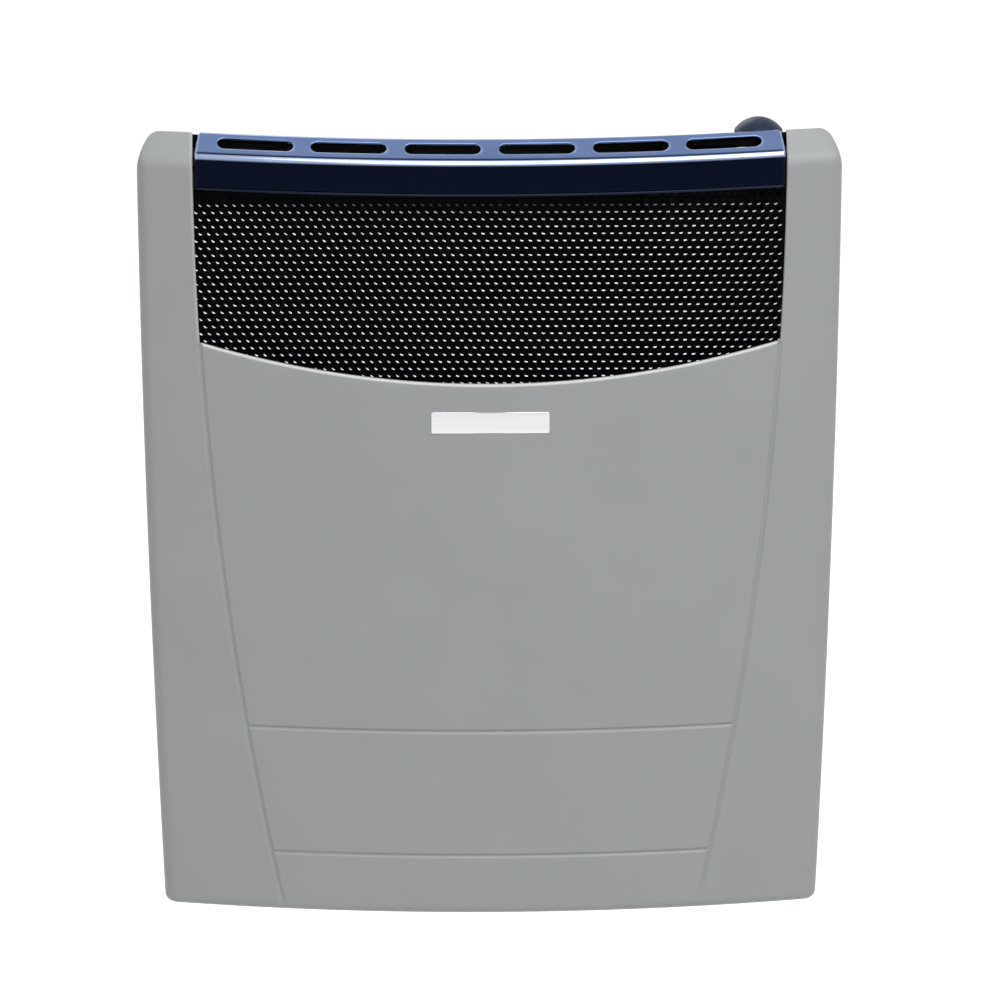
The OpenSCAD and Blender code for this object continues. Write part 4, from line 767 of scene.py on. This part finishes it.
def buildSeals():
    # rubber strips between the band's ends and the wings: a chamfered section carried upwards
    c = seal["chamfer"]
    skin = Patches()
    h = np.linspace(band["low"] + 0.2, bendLow - 1, seal["rows"])
    for side, end in zip((-1, 1), band["ends"]):
        x0, x1 = abs(end) + seal["gap"] + 0 * h, wingX(h) - seal["gap"]
        f0, f1 = seal["front"] + 0 * h, seal["back"] + 0 * h
        loopX = np.stack([x0 + c, x1 - c, x1, x1, x1 - c, x0 + c, x0, x0, x0 + c], -1)
        loopF = np.stack([f0, f0, f0 + c, f1 - c, f1, f1, f1 - c, f0 + c, f0], -1)
        p = bandPoint(side * loopX, loopF, h[:, None])
        skin.grid(p)
        for ring in (p[0, :-1], p[-1, :-1]):
            skin.loose(ring, [list(range(8))])
    obj = skin.piece("sealStrips", [finish["rubber"]], "heater", merge=fineGap,
                     closed=True)
    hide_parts("band_seals")
    return obj


buildSeals()
print("seals")


def slab(x0, x1, y0, y1, z0, z1):
    box = [(x, y, z) for x in (x0, x1) for y in (y0, y1) for z in (z0, z1)]
    return box, [(0, 4, 5, 1), (2, 3, 7, 6), (0, 1, 3, 2), (4, 6, 7, 5), (0, 2, 6, 4), (1, 5, 7, 3)]


# hole is the punched hole's radius, dish the outer radius and depth of the rim pressed round it;
# holes lie between left and right, and down to below under the window's arc; the sector of a
# rim with a painted glint swings across the sheet; the glint is dimmed under the band as painted
# shadow, and is weaker to the right
grille = dict(width=512.0, low=444.5, top=634.4, sheet=1.0, clear=0.3, skin=0.02, pitch=7.0,
              hole=2.2, dish=(3.1, 0.5), sides=12, rowAt=524.1, colAt=-1.2, left=-241.5,
              right=237.5, below=9.0, margins=(6.0, 5.0), foldAt=238.0, swingAt=110.0,
              swingOver=200.0, swing=36.0, tilt=15.0, bandShadowTop=604.0, bandShadowBow=5.0, bandShadowHalf=240.0,
              bandShadowOver=8.0, fadeAt=430.0, fadeOver=260.0, fadeLeast=0.6, uneven=0.78, seed=7)


def buildGrille():
    # one hole's cell: a rectangle's border, a dished rim, the wall and the back, in a stagger
    g = grille
    n, pitch, row = g["sides"], g["pitch"], g["pitch"] * math.sqrt(3) / 2
    yFace = g["clear"] + max(
        float(frontY(g["width"] / 2, casing["sheet"])),
        float(frontY(casing["windowHalf"] + casing["sheet"], casing["lip"])))
    under, over = g["margins"]
    j = np.arange(math.ceil((g["low"] + under - g["rowAt"]) / row),
                  math.floor((g["top"] - over - g["rowAt"]) / row) + 1)
    most = int(g["width"] / 2 // pitch)
    i, j = (v.ravel() for v in np.meshgrid(np.arange(-most, most + 1), j))
    cx = g["colAt"] + i * pitch + np.where(j % 2 == 1, pitch / 2, 0)
    cz = g["rowAt"] + j * row
    keep = (cx > g["left"]) & (cx < g["right"]) & (cz > arcH(cx) - g["below"])
    cx, cz = cx[keep], cz[keep]
    # the sector with the painted glint swings from lower left to lower right across the sheet
    swing = np.clip((cx - g["swingAt"]) / g["swingOver"], -1, 1) * g["swing"]
    onLeft = cx < g["swingAt"]
    tilt = np.radians(np.where(onLeft, g["tilt"] + swing, swing - g["tilt"]))
    t = np.radians((np.arange(n) + 0.5) * 360 / n)
    ray = np.stack([np.cos(t), np.sin(t)], -1)
    k = np.minimum(pitch / 2 / np.abs(ray[:, 0]), row / 2 / np.abs(ray[:, 1]))
    turned = t[None, :] + tilt[:, None]
    ring = np.stack([np.cos(turned), np.sin(turned)], -1)
    border = (ray * k[:, None])[None] + 0 * ring
    (dishR, dishD), r, s = g["dish"], g["hole"], g["sheet"]
    levels = [(border, 0.0), (ring * dishR, 0.0), (ring * r, dishD), (ring * r, s), (border, s)]
    flat = np.stack([q for q, _ in levels], 1)
    deep = np.array([d for _, d in levels])[None, :, None] + 0 * flat[..., 0]
    pts = np.stack([flat[..., 0] + cx[:, None, None], yFace + deep,
                    flat[..., 1] + cz[:, None, None]], -1)
    a = np.arange(n)
    b = (a + 1) % n
    step = np.arange(len(levels) - 1)[:, None] * n
    ringFaces = np.stack([step + a, step + b, step + n + b, step + n + a], -1).reshape(-1, 4)
    first = np.arange(len(cx)) * len(levels) * n
    faces = (ringFaces[None] + first[:, None, None]).reshape(-1, 4)
    # two faces of each rim's dish take the pale metal of the painted glint
    looks = np.zeros((len(cx), len(levels) - 1, n), int)
    looks[onLeft, 1, 7:9] = 1
    looks[~onLeft, 1, 8:10] = 1
    # the painted glint's share: dimmed under the band as painted shadow, weaker to the right,
    # uneven at random
    worn = np.clip((g["bandShadowTop"] + g["bandShadowBow"] * (cx / g["bandShadowHalf"]) ** 2 - cz) / g["bandShadowOver"], 0, 1)
    worn *= np.clip((g["fadeAt"] - cx) / g["fadeOver"], g["fadeLeast"], 1)
    worn *= np.random.default_rng(g["seed"]).uniform(g["uneven"], 1.0, len(cx))
    sheet = Patches()
    sheet.add(pts.reshape(-1, 3), faces.tolist(), looks.ravel(), np.repeat(worn, len(levels) * n))
    # plain margins: strips to the sheet's edges, in each row as far as the holes leave them
    w, yf, yb = g["width"] / 2, yFace + g["skin"], yFace + s - g["skin"]
    for h in np.unique(np.round(cz, 4)):
        xs = np.sort(cx[np.abs(cz - h) < 0.01])
        gaps = np.where(np.diff(xs) > pitch * 1.5)[0]
        strips = [(-w, xs[0] - pitch / 2), (xs[-1] + pitch / 2, w)]
        strips += [(xs[gap] + pitch / 2, xs[gap + 1] - pitch / 2) for gap in gaps]
        for x0, x1 in strips:
            sheet.loose(*slab(x0, x1, yf, yb, h - row / 2, h + row / 2))
    sheet.loose(*slab(-w, w, yf, yb, g["low"], cz.min() - row / 2))
    sheet.loose(*slab(-w, w, yf, yb, cz.max() + row / 2, g["top"]))
    # the sheet's upright edges are folded back on themselves behind the last holes
    for x0, x1 in ((-w, -g["foldAt"]), (g["foldAt"], w)):
        sheet.loose(*slab(x0, x1, yb + 0.05, yb + s - 0.2, cz.min(), g["top"]))
    obj = sheet.piece("grilleSheet", [finish["grille"], finish["rim"]], "heater",
                      merge=fineGap, crease=60)
    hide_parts("grille")
    print("grille holes:", len(cx))
    return obj


buildGrille()

knobSize = dict(r=19.8, dome=23.5, domeIn=1.0, top=662.4, skirt=12.0, flutes=24, dip=0.55,
                dipPower=1.5, wall=3.0, hub=7.5, hubLow=644.0, rod=4.03, cavity=652.0,
                mark=0.5, markHalf=1.3, markFrom=6.0)


def buildKnob():
    k = knobSize
    cx, cy = axisOf("knob")
    th = np.linspace(0, 2 * np.pi, k["flutes"] * 8 + 1)
    r, wall, cavity = k["r"], k["r"] - k["wall"], k["cavity"]
    rimZ = k["top"] - k["dome"] + math.sqrt(k["dome"] ** 2 - (r - k["domeIn"]) ** 2)
    base = rimZ - k["skirt"] + 0.3
    # (radius, height, share of the flutes) from the middle of the crown, over a rounded rim,
    # down the fluted skirt, and inside
    a = np.linspace(0.0, math.asin((r - k["domeIn"]) / k["dome"]), 14)
    prof = [(k["dome"] * math.sin(v), k["top"] - k["dome"] * (1 - math.cos(v)), 0.0) for v in a]
    prof += [(r - 0.45, rimZ - 0.30, 0.25), (r - 0.1, rimZ - 0.75, 0.7), (r, rimZ - 1.4, 1.0)]
    prof += [(r, z, 1.0) for z in np.linspace(rimZ - 3, base + 0.8, 5)]
    prof += [(r - 0.2, base + 0.25, 1.0), (r - 0.8, base, 0.6), (r - 2.2, base, 0.0),
             (wall, base + 0.6, 0.0), (wall, cavity, 0.0), (k["hub"], cavity, 0.0),
             (k["hub"], k["hubLow"], 0.0), (k["rod"], k["hubLow"], 0.0),
             (k["rod"], cavity + 3, 0.0), (0.0, cavity + 3, 0.0)]
    rad, z, flute = np.array(prof).T[..., None]
    wave = 0.5 - 0.5 * np.cos(th * k["flutes"])
    rad = rad - k["dip"] * flute * wave ** k["dipPower"]
    # a shallow pointer groove across the crown, towards the front rim
    px, py = rad * np.cos(th), rad * np.sin(th)
    across = np.clip(1 - (px / k["markHalf"]) ** 2, 0, 1)
    dent = k["mark"] * across * (py < -k["markFrom"]) * (z > rimZ - 0.2)
    skin = Patches()
    skin.grid(np.stack([cx + px, cy + py, z - dent], -1), flip=True)
    obj = skin.piece("knobCap", [finish["knob"]], "knob", merge=0.01, crease=50)
    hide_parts("knob")
    return obj


buildKnob()
print("knob")

# both coils stand on a fixed foot; low and high are the heights of their ends
springs = dict(
    knob=dict(node="knob_spring", joint="knob_push", axis="knob", low=625.5, high=641.8, r=6.4,
              wire=0.6, turns=5, travel=6.0),
    igniter=dict(node="igniter_spring", joint="igniter_press", axis="button", low=588.3,
                 high=605.7, r=4.6, wire=0.5, turns=6, travel=5.0),
)


def buildSpring(name, v):
    # a wire wound round an upright axis, from its foot up to its top
    n = v["turns"] * 24 + 1
    a = np.linspace(0, 2 * np.pi * v["turns"], n)[:, None]
    b = np.linspace(0, 2 * np.pi, 9)[None, :]
    x, y = axisOf(v["axis"])
    rise = np.linspace(v["low"] + v["wire"], v["high"] - v["wire"], n)[:, None]
    out = v["r"] + v["wire"] * np.cos(b)
    p = np.stack([x + out * np.cos(a), y + out * np.sin(a), rise + v["wire"] * np.sin(b)], -1)
    skin = Patches()
    skin.grid(p)
    for ring in (p[0, :-1], p[-1, :-1]):
        skin.loose(ring, [list(range(8))])
    obj = skin.piece(name + "Coil", [finish["darkSteel"]], "heater",
                     merge=fineGap, closed=True)
    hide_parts(v["node"])
    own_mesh(obj)
    return obj


for name, values in springs.items():
    buildSpring(name, values)
print("springs")

plate = dict(w=97.0, h=18.0, mid=424.1, t=1.0, corner=1.6, edge=0.45)


def buildPlate():
    # a bowed plate with round corners and a softened edge, its outline drawn in step by step
    p = plate
    hw, hh, r = p["w"] / 2, p["h"] / 2, p["corner"]
    quarter = np.arange(30) / 29 * np.pi / 2

    def outline(g):
        # rounded rectangle shrunk by g, 30 points to a corner
        out = []
        for sx, sz, turned in ((1, 1, 0), (-1, 1, 90), (-1, -1, 180), (1, -1, 270)):
            a = quarter + math.radians(turned)
            out.append(np.stack([sx * (hw - r) + (r - g) * np.cos(a),
                                 sz * (hh - r) + (r - g) * np.sin(a)], -1))
        return np.concatenate(out)

    # (outline, how far it stands out), then the face: drawn in towards its middle line
    face = outline(p["edge"])
    rings = [(outline(0.0), 0.05), (outline(0.0), p["t"] - p["edge"] * 0.6),
             (outline(0.14), p["t"] - 0.1), (face, p["t"])]
    rings += [(face * [1, k], p["t"]) for k in (0.75, 0.5, 0.25, 0.0)]
    grid = np.stack([np.stack([o[:, 0], frontY(o[:, 0], -up), p["mid"] + o[:, 1]], -1)
                     for o, up in rings])
    skin = Patches()
    skin.grid(np.concatenate([grid, grid[:, :1]], 1))
    obj = skin.piece("namePlate", [finish["plate"]], "heater", merge=fineGap,
                     crease=40)
    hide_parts("nameplate")
    return obj


buildPlate()
print("nameplate")

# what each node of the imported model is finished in
finishOf = dict(
    rubber=["band_seals", "lead_gland"],
    zinc=["valve_bracket", "pilot_bracket", "burner_feet", "air_collar"],
    # near black standing in for the shade inside the heater
    shadeBlack=["wall_plate", "side_rails", "control_shelf", "chamber_brackets", "grille_clips",
                "air_box"],
    bright=["casing_screws", "bonnet_screws", "igniter_nut", "thrust_washer", "igniter_spring",
            "union_nut", "valve_spindle", "rod_coupling", "inlet_pipe", "burner_pipe",
            "thermocouple"],
    # blackened steel, also kept near black as painted shade behind the band
    darkSteel=["control_rod", "knob_spring"],
    hotSteel=["heat_shield", "exhaust_collar", "burner"],
    blackEnamel=["chamber_back", "chamber_front", "burner_door"],
    fibre=["flue_gasket", "door_gasket"],
    brass=["door_nuts", "injector_holder", "injector", "pilot_burner", "pipe_nuts", "gas_inlet",
           "rod_bush", "magnet_unit", "sight_ring"],
    copper=["pilot_tube", "thermocouple_lead"],
    ceramic=["spark_electrode"],
    castMetal=["valve_body", "valve_bonnet"],
    # the ignition lead and the igniter body are near black as painted shade; the button is black
    # plastic
    leadSleeve=["ignition_lead"],
    black=["igniter_button", "igniter_body"],
    glass=["sight_glass"],
    casing=["casing"], band=["top_band"], grille=["grille"], knob=["knob"], plate=["nameplate"],
)
for key, names in finishOf.items():
    for name in names:
        mesh = nodes[name].data
        mesh.materials.clear()
        mesh.materials.append(finish[key])
print("finishes on", sum(len(v) for v in finishOf.values()), "nodes")

view = dict(at=(-0.1237, -10.576, 3.1206), down=16.5006, turn=0.7262, roll=-0.0544, lens=474.23,
            sensor=36.0, clip=60.0)


def placeCamera():
    # looks down and a little to the right; right and up follow from that, then roll round it
    cam = bpy.data.cameras.new("camera")
    cam.sensor_width, cam.lens, cam.clip_end = view["sensor"], view["lens"], view["clip"]
    obj = linked("camera", cam)
    down, side, roll = (math.radians(view[k]) for k in ("down", "turn", "roll"))
    ahead = Vector((math.sin(side) * math.cos(down), math.cos(side) * math.cos(down),
                    -math.sin(down)))
    right = Vector((math.cos(side), -math.sin(side), 0.0))
    up = right.cross(ahead)
    rolledRight = right * math.cos(roll) + up * math.sin(roll)
    rolledUp = up * math.cos(roll) - right * math.sin(roll)
    axes = Matrix((rolledRight, rolledUp, -ahead)).transposed().to_4x4()
    obj.matrix_world = Matrix.Translation(view["at"]) @ axes
    bpy.context.scene.camera = obj


placeCamera()

# a wide soft box in front and above, a weak one from the left, one over the top, one behind
lights = dict(
    key=dict(at=(1.3, -2.6, 3.5), size=(5.6, 2.6), power=140.0),
    fill=dict(at=(-3.4, -2.6, 1.2), size=(1.6, 2.2), power=10.0),
    over=dict(at=(0.3, -0.9, 3.7), size=(3.0, 1.0), power=16.0),
    back=dict(at=(-1.2, 3.4, 2.4), size=(2.4, 2.4), power=40.0),
)


def softLight(name, at, size, power, aim=(0, -0.15, 0.05)):
    lamp = bpy.data.lights.new(name, "AREA")
    lamp.shape = "RECTANGLE"
    lamp.size, lamp.size_y = size
    lamp.energy = power
    turned = (Vector(aim) - Vector(at)).to_track_quat("-Z", "Y").to_matrix().to_4x4()
    linked(name, lamp).matrix_world = Matrix.Translation(at) @ turned


for name, values in lights.items():
    softLight(name, **values)


def seenDirectly(tree):
    # 1 for rays from the camera, off gloss and through glass, else 0
    path = addNode(tree, "LightPath")
    out = path.outputs["Is Camera Ray"]
    for other in ("Is Glossy Ray", "Is Transmission Ray"):
        most = addNode(tree, "Math")
        most.operation = "MAXIMUM"
        feed(tree, most.inputs[0], out)
        feed(tree, most.inputs[1], path.outputs[other])
        out = most.outputs["Value"]
    return out


def twoWays(tree, usual, direct, out):
    # gives direct to the rays that see the surface directly, and usual to all others
    mix = addNode(tree, "MixShader", Fac=seenDirectly(tree))
    feed(tree, mix.inputs[1], usual)
    feed(tree, mix.inputs[2], direct)
    feed(tree, out.inputs["Surface"], mix.outputs["Shader"])


def buildWorld(level):
    # white where it is seen directly, dimmer as a light
    w = bpy.data.worlds.new("studio")
    w.use_nodes = True
    bpy.context.scene.world = w
    tree = w.node_tree
    tree.nodes.clear()
    white, soft = (addNode(tree, "Background", Color=(1, 1, 1), Strength=strength)
                   for strength in (1.0, level))
    twoWays(tree, soft.outputs["Background"], white.outputs["Background"],
            addNode(tree, "OutputWorld"))


buildWorld(level=0.28)


def buildFloor(z, size, glowing):
    # a pale floor well below the heater: lit by the lamps, lifted to white where seen directly
    mesh = bpy.data.meshes.new("floor")
    s = size / 2
    mesh.from_pydata([(-s, -s, z), (s, -s, z), (s, s, z), (-s, s, z)], [], [(0, 1, 2, 3)])
    obj = linked("floor", mesh)
    mat, tree, sh = nodeMaterial("floorPale", specular=0.0, Roughness=0.9)
    cloud = noise(tree, objectCoords(tree), scale=2)
    feed(tree, sh.inputs["Base Color"], ramp(tree, cloud, [(0.3, [0.79] * 3), (0.7, [0.81] * 3)]))
    glow = addNode(tree, "Emission", Color=(1, 1, 1), Strength=glowing)
    both = addNode(tree, "AddShader")
    feed(tree, both.inputs[0], sh.outputs["BSDF"])
    feed(tree, both.inputs[1], glow.outputs["Emission"])
    twoWays(tree, sh.outputs["BSDF"], both.outputs["Shader"], tree.nodes["Material Output"])
    mesh.materials.append(mat)


buildFloor(z=-0.95, size=14.0, glowing=0.7)
bpy.context.scene.view_settings.view_transform = "Standard"
print("camera and light")
